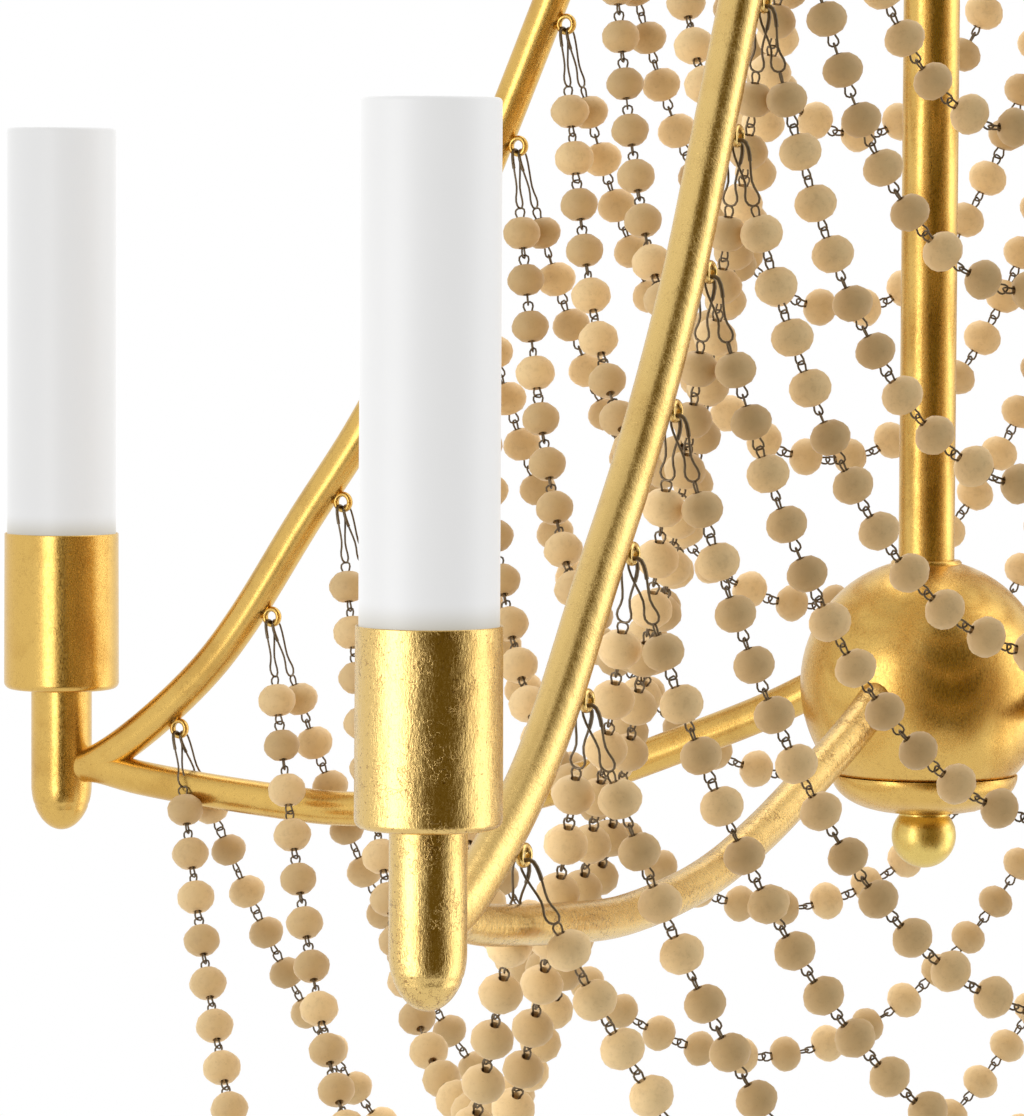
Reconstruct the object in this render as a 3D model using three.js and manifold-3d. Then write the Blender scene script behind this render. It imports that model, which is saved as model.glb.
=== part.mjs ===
// Beaded chandelier with four arms: a gold-leafed tube frame, four lamps with opal
// glass tubes, a ball at the centre, and nine tiers of wooden bead strands that hang
// in swags from eyelets under the ribs. Millimetres, +Z up, origin on the ceiling.
import * as THREE from 'three';
import { mergeVertices } from 'three/addons/utils/BufferGeometryUtils.js';
import Module from 'manifold-3d';

const wasm = await Module();
wasm.setup();

// Driving dimensions

// Clearances
const seatGap = 0.3;
const cutOverrun = 5;

// Arms, each a rib and a lower arm that leave the lamp stem together
const armReach = 404;
const tubeRadius = 7.25;
const hubRise = 384;
const stubDrop = 97.5;

// Rib centre line from the stem up towards the hub: shares of the reach, and of the
// height between the stub and the hub
const ribShares = [
  [0.985, -0.005], [0.958, 0.001], [0.901, 0.031], [0.824, 0.086], [0.777, 0.132],
  [0.702, 0.223], [0.631, 0.306], [0.545, 0.429], [0.485, 0.539], [0.427, 0.649],
  [0.374, 0.751], [0.32, 0.851], [0.248, 0.934], [0.165, 0.985],
];

// Lower arm centre line from the stem towards the ball: shares of the reach, and of the
// drop from the cup's rim to the stub
const lowerArmShares = [
  [0.985, -1.015], [0.958, -1.01], [0.9, -1.052], [0.755, -1.11], [0.648, -1.131],
  [0.49, -1.067], [0.371, -0.938], [0.248, -0.749], [0.16, -0.6],
];

// Lamp: stem, cup, glass tube, socket and bulb
const stemRadius = 12.5;
const stemLength = 60.5;
const stemNoseLength = 24;
const stemTipRadius = 4;
const nippleRadius = 4.8;
const nippleLength = 14;
const cupTopRadius = 24;
const cupFootRadius = 24.5;
const cupHeight = 66;
const cupWall = 0.8;
const cupFootRounding = 3;
const glassRadius = 22.9;
const glassWall = 3;
const glassRise = 174;
const glassRimRounding = 1.4;
const socketRadius = 13.5;
const socketHeight = 48;
const socketNeckRadius = 11;
const socketNeckHeight = 18;
const socketBoreRadius = 7;
const socketBoreDepth = 22;
const bulbBaseRadius = 6.2;
const bulbRadius = 16;
const bulbNeckRadius = 8.5;
const bulbLength = 92;
const bulbTipRadius = 2;

// Ball at the centre, its lower cap and the finial
const ballRadius = 49.2;
const ballDepth = 52;
const ballDrop = 46.3;
const ballWall = 1.8;
const ballSeamDrop = 35.6;
const ballCollarRadius = 14;
const ballCollarRise = 1.6;
const armEndInset = 9;
const capLipReach = 0.8;
const capDepth = 15;
const capWall = 1.6;
const capSeatRadius = 11;
const finialRadius = 12.7;
const finialNeckRadius = 9.8;
const finialStudRadius = 3;
const finialStudLength = 44;

// Central rod, top hub and the loop over it
const rodRadius = 11;
const rodWall = 1.5;
const rodPlugHeight = 14;
const rodOverHub = 26;
const hubRadius = 46;
const hubCoreRadius = 24;
const hubBandHeight = 24;
const hubHeight = 34;
const hubSocketDepth = 12;
const loopCollarRadius = 14;
const loopCollarHeight = 14;
const loopBoreDepth = 9;
const loopRadius = 12;
const loopWireRadius = 2.5;
const loopSink = 1.5;

// Hanging link
const linkEndRadius = 7.5;
const linkLength = 42;
const linkWireRadius = 2.2;

// Canopy on the ceiling and the bracket inside it
const canopyRadius = 63.5;
const canopyDepth = 30;
const canopyWall = 1.5;
const canopyNeckRadius = 16;
const canopyLipHeight = 5;
const bracketLength = 108;
const bracketWidth = 22;
const bracketThickness = 3;
const studRadius = 4.8;
const slotInset = 12;
const slotLength = 14;
const slotRadius = 2.4;
const canopyLoopCollarHeight = 12;
const canopyLoopBoreDepth = 8;

// Eyelets: short tubes welded under each rib, one for every tier of strands
const tiers = 9;
const firstEyeletDrop = 80.5;
const tierPitch = 49.2;
const eyeletLength = 7;
const eyeletRadius = 4.4;
const eyeletBoreRadius = 2.3;
const eyeletWeldDepth = 1.35;

// Bead strands: wire hook in the eyelet, wire clip, then wooden beads on eye links
const beadDiameter = 16;
const beadPitch = 19.8;
const clipLength = 25.2;
const clipWidth = 6;
const wireRadius = 0.6;
const linkWidth = 2.4;
const hookReach = 1;

// Length of each strand as a share of its span, from the lowest tier up
const strandLengthShares = {
  front_right: [1.43, 1.65, 1.7, 1.83, 1.87, 1.94, 2.03, 2.04, 2.21],
  front_left: [1.47, 1.6, 1.7, 1.83, 1.87, 2.02, 2.03, 2.25, 2.21],
  back_left: [1.59, 1.74, 1.76, 1.83, 1.93, 1.94, 2.03, 2.14, 2.21],
  back_right: [1.47, 1.6, 1.7, 1.83, 1.87, 2.02, 2.03, 2.25, 2.21],
};

// Tiers whose four swags run on through the eyelets as one garland
const garlandTiers = 2;

// Facets
const beadSides = 3;
const tubeSides = 8;
const eyeletSides = 6;
const ringSides = 6;
const ringSteps = 16;
const ribSteps = 14;
const lowerArmSteps = 8;
const stemSides = 12;
const lampSides = 12;
const innerSides = 8;
const roundSides = 16;
const ballSteps = 8;

// Materials, with the colours of the photographed finishes
const goldLeaf = new THREE.MeshStandardMaterial({ color: 0xd2a648, roughness: 0.42, metalness: 0.9 });
const brightGold = new THREE.MeshStandardMaterial({ color: 0xe3bf5a, roughness: 0.25, metalness: 1 });
const wood = new THREE.MeshStandardMaterial({ color: 0xcaa876, roughness: 0.75, metalness: 0 });
const opalGlass = new THREE.MeshStandardMaterial({ color: 0xe8e8e8, roughness: 0.3, metalness: 0 });
const porcelain = new THREE.MeshStandardMaterial({ color: 0xefe9dc, roughness: 0.4, metalness: 0 });
const bulbGlass = new THREE.MeshStandardMaterial({ color: 0xfff4dc, roughness: 0.2, metalness: 0 });
const plainSteel = new THREE.MeshStandardMaterial({ color: 0xb4b4b0, roughness: 0.45, metalness: 0.9 });

const chandelier = new THREE.Group();

// Turn a closed geometry into a solid that can be joined or cut
function solid(geometry) {
  const bare = geometry.index ? geometry.clone() : geometry;
  bare.deleteAttribute('normal');
  bare.deleteAttribute('uv');
  const merged = mergeVertices(bare);
  return new wasm.Manifold(new wasm.Mesh({
    numProp: 3,
    vertProperties: new Float32Array(merged.attributes.position.array),
    triVerts: new Uint32Array(merged.index.array),
  }));
}

// Turn a solid back into a geometry
function shape(body) {
  const mesh = body.getMesh();
  const geometry = new THREE.BufferGeometry();
  geometry.setAttribute('position', new THREE.BufferAttribute(new Float32Array(mesh.vertProperties), 3));
  geometry.setIndex(new THREE.BufferAttribute(new Uint32Array(mesh.triVerts), 1));
  geometry.computeVertexNormals();
  return geometry;
}

// Revolve a profile of [radius, height] points about the Z axis
function revolve(profile, segments) {
  const points = profile.map(([radius, height]) => new THREE.Vector2(radius, height));
  return new THREE.LatheGeometry(points, segments).rotateX(Math.PI / 2);
}

// Points of a round stretch in a profile, from one angle to another
function arc(centreRadius, centreHeight, radius, from, to, steps) {
  const points = [];
  for (let i = 0; i <= steps; i += 1) {
    const angle = from + ((to - from) * i) / steps;
    points.push([centreRadius + radius * Math.cos(angle), centreHeight + radius * Math.sin(angle)]);
  }
  return points;
}

// A many-sided outline, with its first corner on the +X side
function polygon(radius, sides) {
  const outline = new THREE.Shape();
  for (let i = 0; i < sides; i += 1) {
    const angle = (2 * Math.PI * i) / sides;
    const corner = [radius * Math.cos(angle), radius * Math.sin(angle)];
    if (i === 0) {
      outline.moveTo(...corner);
    } else {
      outline.lineTo(...corner);
    }
  }
  outline.closePath();
  return outline;
}

// A straight bar of round section, from one point to another
function bar(from, to, radius, sides) {
  const path = new THREE.LineCurve3(from, to);
  return new THREE.ExtrudeGeometry(polygon(radius, sides), { extrudePath: path, steps: 1 });
}

// A tube of round section along a curve in the XZ plane
function tube(points, radius) {
  const rings = points.map((point) => ({ point, width: radius }));
  return loft(rings, tubeSides, false, new THREE.Vector3(0, 1, 0));
}

// Radius of a many-sided bore that clears a round piece all the way round
function bore(radius, sides) {
  return (radius + seatGap) / Math.cos(Math.PI / sides);
}

function addMesh(name, geometry, material, parent) {
  const mesh = new THREE.Mesh(geometry, material);
  mesh.name = name;
  parent.add(mesh);
  return mesh;
}

// Levels, worked out from the ceiling down

const canopyLoopTop = -canopyDepth - seatGap;
const canopyRingCentre = canopyLoopTop - canopyLoopCollarHeight - loopRadius + loopSink;
const canopyWireLevel = canopyRingCentre - loopRadius;
const linkSeat = loopWireRadius + seatGap + linkWireRadius;
const linkTop = canopyWireLevel + linkSeat;
const linkBottom = linkTop - linkLength;
const topRingTop = linkBottom + linkSeat;
const topRingCentre = topRingTop - loopRadius;
const topCollarTop = topRingCentre - loopRadius + loopSink;
const topCollarBottom = topCollarTop - loopCollarHeight;
const rodTop = topCollarBottom + loopBoreDepth - seatGap;
const hubTop = topCollarBottom - rodOverHub;
const hubLevel = hubTop - hubBandHeight / 2;
const rimLevel = hubLevel - hubRise;
const stubLevel = rimLevel - stubDrop;
const cupFootLevel = rimLevel - cupHeight;
const ballLevel = rimLevel - ballDrop;
const capRimLevel = ballLevel - ballSeamDrop - seatGap;
const capFootLevel = capRimLevel - capDepth;
const finialTop = capFootLevel - seatGap;

// Centre lines of the rib and the lower arm, in the XZ plane. The rib runs level into
// its socket in the hub, and the lower arm ends inside the ball.

const ribHeight = hubLevel - stubLevel;
const socketFloor = hubRadius - hubSocketDepth;
const ribPath = new THREE.CatmullRomCurve3([
  ...ribShares.map(([reachShare, heightShare]) => new THREE.Vector3(
    armReach * reachShare, 0, stubLevel + ribHeight * heightShare,
  )),
  new THREE.Vector3(hubRadius, 0, hubLevel),
]);
const ribEnd = new THREE.Vector3(socketFloor + seatGap, 0, hubLevel);
const ribPoints = [...ribPath.getSpacedPoints(ribSteps), ribEnd];
const lowerArmPath = new THREE.CatmullRomCurve3([
  ...lowerArmShares.map(([reachShare, dropShare]) => new THREE.Vector3(
    armReach * reachShare, 0, rimLevel + stubDrop * dropShare,
  )),
  new THREE.Vector3(ballRadius - armEndInset, 0, ballLevel),
]);
const lowerArmPoints = lowerArmPath.getSpacedPoints(lowerArmSteps);

// Middle of an eyelet at share u along the rib, on the side that faces the axis
const eyeletOffset = tubeRadius + eyeletRadius - eyeletWeldDepth;
function eyeletPoint(u) {
  const point = ribPath.getPointAt(u);
  const run = ribPath.getTangentAt(u);
  return new THREE.Vector3(point.x - run.z * eyeletOffset, 0, point.z + run.x * eyeletOffset);
}

// The eyelet of one tier: the place along the rib where it has the tier's level
function tierEyelet(tier) {
  const level = rimLevel - firstEyeletDrop + tierPitch * tier;
  let low = 0;
  let high = 1;
  for (let i = 0; i < 40; i += 1) {
    const middle = (low + high) / 2;
    if (eyeletPoint(middle).z < level) {
      low = middle;
    } else {
      high = middle;
    }
  }
  return eyeletPoint(low);
}

const eyelets = Array.from({ length: tiers }, (unused, tier) => tierEyelet(tier));

// Ceiling: bracket with its stud, canopy, and the loop that holds the canopy up

function makeBracket() {
  const plate = new THREE.Shape();
  const halfRun = (bracketLength - bracketWidth) / 2;
  const endRadius = bracketWidth / 2;
  plate.absarc(halfRun, 0, endRadius, -Math.PI / 2, Math.PI / 2, false);
  plate.absarc(-halfRun, 0, endRadius, Math.PI / 2, (3 * Math.PI) / 2, false);
  for (const side of [-1, 1]) {
    const slot = new THREE.Path();
    const middle = side * (bracketLength / 2 - slotInset);
    const halfSlot = slotLength / 2 - slotRadius;
    slot.absarc(middle + halfSlot, 0, slotRadius, -Math.PI / 2, Math.PI / 2, false);
    slot.absarc(middle - halfSlot, 0, slotRadius, Math.PI / 2, (3 * Math.PI) / 2, false);
    plate.holes.push(slot);
  }
  const strap = new THREE.ExtrudeGeometry(plate, {
    depth: bracketThickness, bevelEnabled: false, curveSegments: 4,
  }).translate(0, 0, -bracketThickness);
  const studFoot = canopyLoopTop - canopyLoopBoreDepth + seatGap;
  const stud = revolve([
    [0, studFoot], [studRadius, studFoot], [studRadius, -bracketThickness / 2], [0, -bracketThickness / 2],
  ], 12);
  return shape(solid(strap).add(solid(stud)));
}

function makeCanopy() {
  const holeRadius = bore(studRadius, roundSides);
  const shoulder = canopyDepth - canopyLipHeight;
  const bulge = canopyRadius - canopyNeckRadius;
  const outside = [];
  const inside = [];
  const steps = 4;
  for (let i = 0; i <= steps; i += 1) {
    const turn = (Math.PI / 2) * (i / steps);
    outside.push([
      canopyNeckRadius + bulge * Math.cos(turn), -canopyLipHeight - shoulder * Math.sin(turn),
    ]);
    inside.push([
      canopyNeckRadius + (bulge - canopyWall) * Math.cos(turn),
      -canopyLipHeight - (shoulder - canopyWall) * Math.sin(turn),
    ]);
  }
  return revolve([
    [canopyRadius - canopyWall, 0], ...inside, [holeRadius, -canopyDepth + canopyWall],
    [holeRadius, -canopyDepth], ...outside.reverse(), [canopyRadius, 0],
    [canopyRadius - canopyWall, 0],
  ], roundSides);
}

// A ring that stands in the XZ plane, centred on the axis
function makeRing(centre) {
  return new THREE.TorusGeometry(loopRadius, loopWireRadius, ringSides, ringSteps)
    .rotateX(Math.PI / 2).translate(0, 0, centre);
}

function makeCanopyLoop() {
  const foot = canopyLoopTop - canopyLoopCollarHeight;
  const boreFoot = canopyLoopTop - canopyLoopBoreDepth;
  const boreRadius = bore(studRadius, stemSides);
  const collar = revolve([
    [0, boreFoot], [boreRadius, boreFoot], [boreRadius, canopyLoopTop],
    [canopyNeckRadius, canopyLoopTop], [canopyNeckRadius, canopyLoopTop - canopyLipHeight],
    [loopCollarRadius / 2, foot], [0, foot],
  ].reverse(), stemSides);
  return shape(solid(collar).add(solid(makeRing(canopyRingCentre))));
}

// Oval link in the YZ plane, from the canopy's ring to the ring on the fixture
class LinkCurve extends THREE.Curve {
  getPoint(t, target = new THREE.Vector3()) {
    const angle = 2 * Math.PI * t;
    const halfRun = linkLength / 2 - linkEndRadius;
    const lift = Math.max(-halfRun, Math.min(halfRun, 2 * halfRun * Math.sin(angle)));
    return target.set(
      0,
      linkEndRadius * Math.cos(angle),
      (linkTop + linkBottom) / 2 + linkEndRadius * Math.sin(angle) + lift,
    );
  }
}

function makeLink() {
  const path = new LinkCurve();
  const rings = [];
  const steps = ringSteps;
  for (let i = 0; i < steps; i += 1) {
    rings.push({ point: path.getPoint(i / steps), width: linkWireRadius });
  }
  return loft(rings, ringSides, true, new THREE.Vector3(1, 0, 0));
}

// Join rings of corners into one closed skin. Each ring stands square to the path, with
// its first corner on the side that the given direction, or the level, points to.
function loft(rings, sides, closed, sideways) {
  const corners = [];
  const faces = [];
  const count = rings.length;
  rings.forEach((ring, i) => {
    const before = rings[closed ? (i + count - 1) % count : Math.max(i - 1, 0)].point;
    const after = rings[closed ? (i + 1) % count : Math.min(i + 1, count - 1)].point;
    const run = after.clone().sub(before).normalize();
    const side = sideways
      ? sideways.clone()
      : new THREE.Vector3(0, 0, 1).cross(run).normalize();
    const rise = run.clone().cross(side).normalize();
    for (let k = 0; k < sides; k += 1) {
      const angle = (2 * Math.PI * k) / sides;
      corners.push(
        ring.point.clone()
          .addScaledVector(side, ring.width * Math.cos(angle))
          .addScaledVector(rise, ring.width * Math.sin(angle)),
      );
    }
  });
  const bands = closed ? count : count - 1;
  for (let i = 0; i < bands; i += 1) {
    const next = (i + 1) % count;
    for (let k = 0; k < sides; k += 1) {
      const step = (k + 1) % sides;
      const a = i * sides + k;
      const b = i * sides + step;
      const c = next * sides + step;
      const d = next * sides + k;
      faces.push(a, b, c, a, c, d);
    }
  }
  if (!closed) {
    for (let k = 1; k < sides - 1; k += 1) {
      const last = (count - 1) * sides;
      faces.push(0, k + 1, k, last, last + k, last + k + 1);
    }
  }
  const geometry = new THREE.BufferGeometry().setFromPoints(corners);
  geometry.setIndex(faces);
  geometry.computeVertexNormals();
  return geometry;
}

// Fixture's centre: loop, hub, rod, ball, cap and finial

function makeTopLoop() {
  const boreRadius = bore(rodRadius, stemSides);
  const boreTop = topCollarBottom + loopBoreDepth;
  const collar = revolve([
    [boreRadius, topCollarBottom], [loopCollarRadius, topCollarBottom],
    [loopCollarRadius, boreTop], [loopWireRadius * 2, topCollarTop], [0, topCollarTop],
    [0, boreTop], [boreRadius, boreTop], [boreRadius, topCollarBottom],
  ], stemSides);
  return shape(solid(collar).add(solid(makeRing(topRingCentre))));
}

function makeHub() {
  const boreRadius = bore(rodRadius, roundSides);
  const bandTop = hubLevel + hubBandHeight / 2;
  const bandFoot = hubLevel - hubBandHeight / 2;
  const dish = hubHeight - hubBandHeight;
  let hub = solid(revolve([
    [boreRadius, bandFoot - dish], [hubCoreRadius, bandFoot - dish], [hubRadius, bandFoot],
    [hubRadius, bandTop], [boreRadius, bandTop], [boreRadius, bandFoot - dish],
  ], roundSides));
  for (const arm of arms) {
    const socket = bar(
      new THREE.Vector3(socketFloor, 0, hubLevel),
      new THREE.Vector3(hubRadius + cutOverrun, 0, hubLevel),
      bore(tubeRadius, tubeSides),
      tubeSides,
    ).rotateZ(arm.turn);
    hub = hub.subtract(solid(socket));
  }
  return shape(hub);
}

function makeRod() {
  const inside = rodRadius - rodWall;
  const foot = rodFoot;
  const plugTop = foot + rodPlugHeight;
  const plugBore = bore(finialStudRadius, stemSides);
  return revolve([
    [plugBore, foot], [rodRadius, foot], [rodRadius, rodTop], [inside, rodTop],
    [inside, plugTop], [plugBore, plugTop], [plugBore, foot],
  ], stemSides);
}

const rodFoot = capFootLevel + finialStudLength - rodPlugHeight;

// Radius of the ball's skin at a height over its middle: round above, a little fuller below
function ballSkin(height, inset) {
  const depth = height < 0 ? ballDepth : ballRadius;
  return (ballRadius - inset) * Math.sqrt(1 - (height / (depth - inset)) ** 2);
}

// Height over the ball's middle at which its round upper half has a given radius
function ballCrown(radius, inset) {
  return Math.sqrt((ballRadius - inset) ** 2 - radius ** 2);
}

// Points down the ball's skin, close together where it is steep
function ballProfile(top, inset, steps) {
  const points = [];
  const first = Math.asin(top / (ballRadius - inset));
  const last = -Math.asin(ballSeamDrop / (ballDepth - inset));
  for (let i = 0; i <= steps; i += 1) {
    const angle = first + ((last - first) * i) / steps;
    const height = Math.sin(angle) * ((angle < 0 ? ballDepth : ballRadius) - inset);
    points.push([ballSkin(height, inset), ballLevel + height]);
  }
  return points;
}

function makeBall() {
  const boreRadius = bore(rodRadius, roundSides);
  const crown = ballCrown(ballCollarRadius, 0);
  const outside = ballProfile(crown, 0, ballSteps).reverse();
  const inside = ballProfile(ballCrown(boreRadius, ballWall), ballWall, ballSteps - 2);
  const collarTop = ballLevel + crown + ballCollarRise;
  let ball = solid(revolve([
    ...outside, [ballCollarRadius - ballCollarRise / 2, collarTop], [boreRadius, collarTop],
    ...inside, outside[0],
  ], roundSides));
  const [inner, end] = lowerArmPoints.slice(-2);
  const run = end.clone().sub(inner).normalize();
  for (const arm of arms) {
    const hole = bar(
      end.clone().addScaledVector(run, cutOverrun),
      inner,
      bore(tubeRadius, tubeSides),
      tubeSides,
    ).rotateZ(arm.turn);
    ball = ball.subtract(solid(hole));
  }
  return shape(ball);
}

function makeCap() {
  const studHole = bore(finialStudRadius, roundSides);
  const capRimRadius = ballSkin(-ballSeamDrop, 0) + capLipReach;
  const outside = [];
  const inside = [];
  const steps = 4;
  for (let i = 0; i <= steps; i += 1) {
    const turn = (Math.PI / 2) * (i / steps);
    outside.push([
      capSeatRadius + (capRimRadius - capSeatRadius) * Math.cos(turn),
      capRimLevel - capDepth * Math.sin(turn),
    ]);
    inside.push([
      capSeatRadius + (capRimRadius - capWall - capSeatRadius) * Math.cos(turn),
      capRimLevel - (capDepth - capWall) * Math.sin(turn),
    ]);
  }
  return revolve([
    [studHole, capFootLevel], ...outside.reverse(), ...inside,
    [studHole, capFootLevel + capWall], [studHole, capFootLevel],
  ], roundSides);
}

function makeFinial() {
  const neckAngle = Math.acos(finialNeckRadius / finialRadius);
  const centre = finialTop - finialRadius * Math.sin(neckAngle) - seatGap;
  const studTop = capFootLevel + finialStudLength;
  return revolve([
    ...arc(0, centre, finialRadius, -Math.PI / 2, neckAngle, 7),
    [finialNeckRadius, finialTop], [finialStudRadius, finialTop], [finialStudRadius, studTop], [0, studTop],
  ], stemSides);
}

// One arm: rib, lower arm, stem with its nipple, and the eyelets, welded together

function makeArm() {
  const stemTop = cupFootLevel - seatGap;
  const stemFoot = stemTop - stemLength;
  const noseTop = stemFoot + stemNoseLength;
  const noseMiddle = stemFoot + stemNoseLength / 3;
  const nippleTop = stemTop + nippleLength;
  const stem = revolve([
    [0, stemFoot], [stemTipRadius, stemFoot], [(stemRadius * 5) / 6, noseMiddle], [stemRadius, noseTop],
    [stemRadius, stemTop], [nippleRadius, stemTop], [nippleRadius, nippleTop], [0, nippleTop],
  ], stemSides).translate(armReach, 0, 0);
  let arm = solid(stem)
    .add(solid(tube(ribPoints, tubeRadius)))
    .add(solid(tube(lowerArmPoints, tubeRadius)));
  for (const eyelet of eyelets) {
    const outline = polygon(eyeletRadius, eyeletSides);
    outline.holes.push(polygon(eyeletBoreRadius, eyeletSides));
    const barrel = new THREE.ExtrudeGeometry(outline, { depth: eyeletLength, bevelEnabled: false })
      .translate(0, 0, -eyeletLength / 2)
      .rotateX(Math.PI / 2)
      .translate(eyelet.x, 0, eyelet.z);
    arm = arm.add(solid(barrel));
  }
  return shape(arm);
}

// Lamp pieces, made round the stem's axis

function makeCup() {
  const nippleHole = bore(nippleRadius, lampSides);
  const floor = cupFootLevel + cupWall;
  const footRing = cupFootRadius - cupFootRounding;
  return revolve([
    [nippleHole, cupFootLevel],
    ...arc(footRing, cupFootLevel + cupFootRounding, cupFootRounding, -Math.PI / 2, 0, 2),
    [cupTopRadius, rimLevel], [cupTopRadius - cupWall, rimLevel],
    [cupFootRadius - cupWall, cupFootLevel + cupFootRounding],
    [footRing, floor], [nippleHole, floor], [nippleHole, cupFootLevel],
  ], lampSides);
}

function makeGlass() {
  const foot = cupFootLevel + cupFootRounding + seatGap;
  const top = rimLevel + glassRise;
  const inside = glassRadius - glassWall;
  return revolve([
    [inside, foot], [glassRadius, foot], [glassRadius, top - glassRimRounding],
    [glassRadius - glassRimRounding, top], [inside + glassRimRounding, top],
    [inside, top - glassRimRounding], [inside, foot],
  ], lampSides);
}

const socketFoot = cupFootLevel + cupWall + seatGap;
const socketTop = socketFoot + socketHeight;

function makeSocket() {
  const nippleBore = bore(nippleRadius, innerSides);
  const nippleBoreTop = cupFootLevel - seatGap + nippleLength + seatGap;
  const bulbBoreFoot = socketTop - socketBoreDepth;
  return revolve([
    [0, nippleBoreTop], [nippleBore, nippleBoreTop], [nippleBore, socketFoot],
    [socketNeckRadius, socketFoot], [socketNeckRadius, socketFoot + socketNeckHeight],
    [socketRadius, socketFoot + socketNeckHeight + socketNeckRadius / 4],
    [socketRadius, socketTop], [socketBoreRadius, socketTop], [socketBoreRadius, bulbBoreFoot],
    [0, bulbBoreFoot],
  ], innerSides);
}

function makeBulb() {
  const foot = socketTop - socketBoreDepth + seatGap;
  const shoulder = socketTop + seatGap;
  const glassHeight = bulbLength - (shoulder - foot);
  return revolve([
    [0, foot], [bulbBaseRadius, foot], [bulbBaseRadius, shoulder], [bulbNeckRadius, shoulder],
    [bulbRadius, shoulder + glassHeight * 0.33], [bulbRadius * 0.84, shoulder + glassHeight * 0.62],
    [bulbTipRadius, shoulder + glassHeight], [0, shoulder + glassHeight],
  ], innerSides);
}

// Bead strands

// Share of the span that sets how slack a hanging chain is: solve sinh(k) / k = slack
function slackness(slack) {
  let low = 1e-3;
  let high = 12;
  for (let i = 0; i < 60; i += 1) {
    const middle = (low + high) / 2;
    if (Math.sinh(middle) / middle < slack) {
      low = middle;
    } else {
      high = middle;
    }
  }
  return low;
}

// Where the hook rests in an eyelet: in the mouth on the bay's side, on the bore's floor
const hookInset = eyeletLength / 2 - hookReach / 2;
const hookDrop = eyeletBoreRadius * Math.cos(Math.PI / eyeletSides) - wireRadius - seatGap;
const hookRun = (hookReach / 2 + seatGap + wireRadius) * Math.SQRT2;

// Rings of one swag between the first arm, on +X, and the second, on +Y
function swagRings(tier, bay) {
  const eyelet = eyelets[tier];
  const level = eyelet.z - hookDrop;
  const start = new THREE.Vector3(eyelet.x, hookInset, level);
  const end = new THREE.Vector3(hookInset, eyelet.x, level);
  const along = end.clone().sub(start).normalize();
  const span = end.distanceTo(start) - 2 * hookRun;
  const beads = Math.round((span * strandLengthShares[bay][tier] - 2 * clipLength) / beadPitch);
  const length = beads * beadPitch + 2 * clipLength;
  const k = slackness(length / span);
  const bend = span / (2 * k);
  const sag = bend * Math.cosh(k);
  const place = (distance) => {
    const run = bend * Math.asinh((distance - length / 2) / bend);
    const point = start.clone().addScaledVector(along, hookRun + span / 2 + run);
    point.z = level - sag + bend * Math.cosh(run / bend);
    return point;
  };
  const clipBelly = clipLength * 0.72;
  const rings = [
    { point: place(0), width: wireRadius },
    { point: place(clipBelly), width: clipWidth / 2 },
  ];
  for (let i = 0; i < beads; i += 1) {
    rings.push({ point: place(clipLength + i * beadPitch), width: linkWidth / 2 });
    rings.push({ point: place(clipLength + (i + 0.5) * beadPitch), width: beadDiameter / Math.sqrt(3) });
  }
  rings.push(
    { point: place(length - clipLength), width: linkWidth / 2 },
    { point: place(length - clipBelly), width: clipWidth / 2 },
    { point: place(length), width: wireRadius },
  );
  return { rings, start, end, along };
}

// A strand ends in a short hook at each eyelet
function makeStrand(tier, bay) {
  const { rings, start, end, along } = swagRings(tier, bay);
  const tip = hookReach / 2;
  rings.unshift({ point: start.clone().addScaledVector(along, -tip), width: wireRadius });
  rings.push({ point: end.clone().addScaledVector(along, tip), width: wireRadius });
  return loft(rings, beadSides, false);
}

// A garland's swags run on through all the eyelets of its tier
function makeGarland(tier) {
  const eyelet = eyelets[tier];
  const rings = [];
  for (const arm of arms) {
    const turn = new THREE.Matrix4().makeRotationZ(arm.turn);
    const middle = new THREE.Vector3(eyelet.x, 0, eyelet.z - hookDrop);
    rings.push({ point: middle.applyMatrix4(turn), width: wireRadius });
    for (const ring of swagRings(tier, arm.bay).rings) {
      rings.push({ point: ring.point.applyMatrix4(turn), width: ring.width });
    }
  }
  return loft(rings, beadSides, true);
}

// Assembly

const quarter = Math.PI / 2;
const arms = [
  { name: 'right', turn: 0, bay: 'back_right' },
  { name: 'back', turn: quarter, bay: 'back_left' },
  { name: 'left', turn: 2 * quarter, bay: 'front_left' },
  { name: 'front', turn: 3 * quarter, bay: 'front_right' },
];

addMesh('mounting_bracket', makeBracket(), plainSteel, chandelier);
addMesh('canopy', makeCanopy(), goldLeaf, chandelier);
addMesh('canopy_loop', makeCanopyLoop(), goldLeaf, chandelier);
addMesh('hanging_link', makeLink(), goldLeaf, chandelier);
addMesh('top_loop', makeTopLoop(), goldLeaf, chandelier);
addMesh('top_hub', makeHub(), goldLeaf, chandelier);
addMesh('centre_rod', makeRod(), goldLeaf, chandelier);
addMesh('ball_shell', makeBall(), goldLeaf, chandelier);
addMesh('ball_cap', makeCap(), goldLeaf, chandelier);
addMesh('finial', makeFinial(), brightGold, chandelier);

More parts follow.
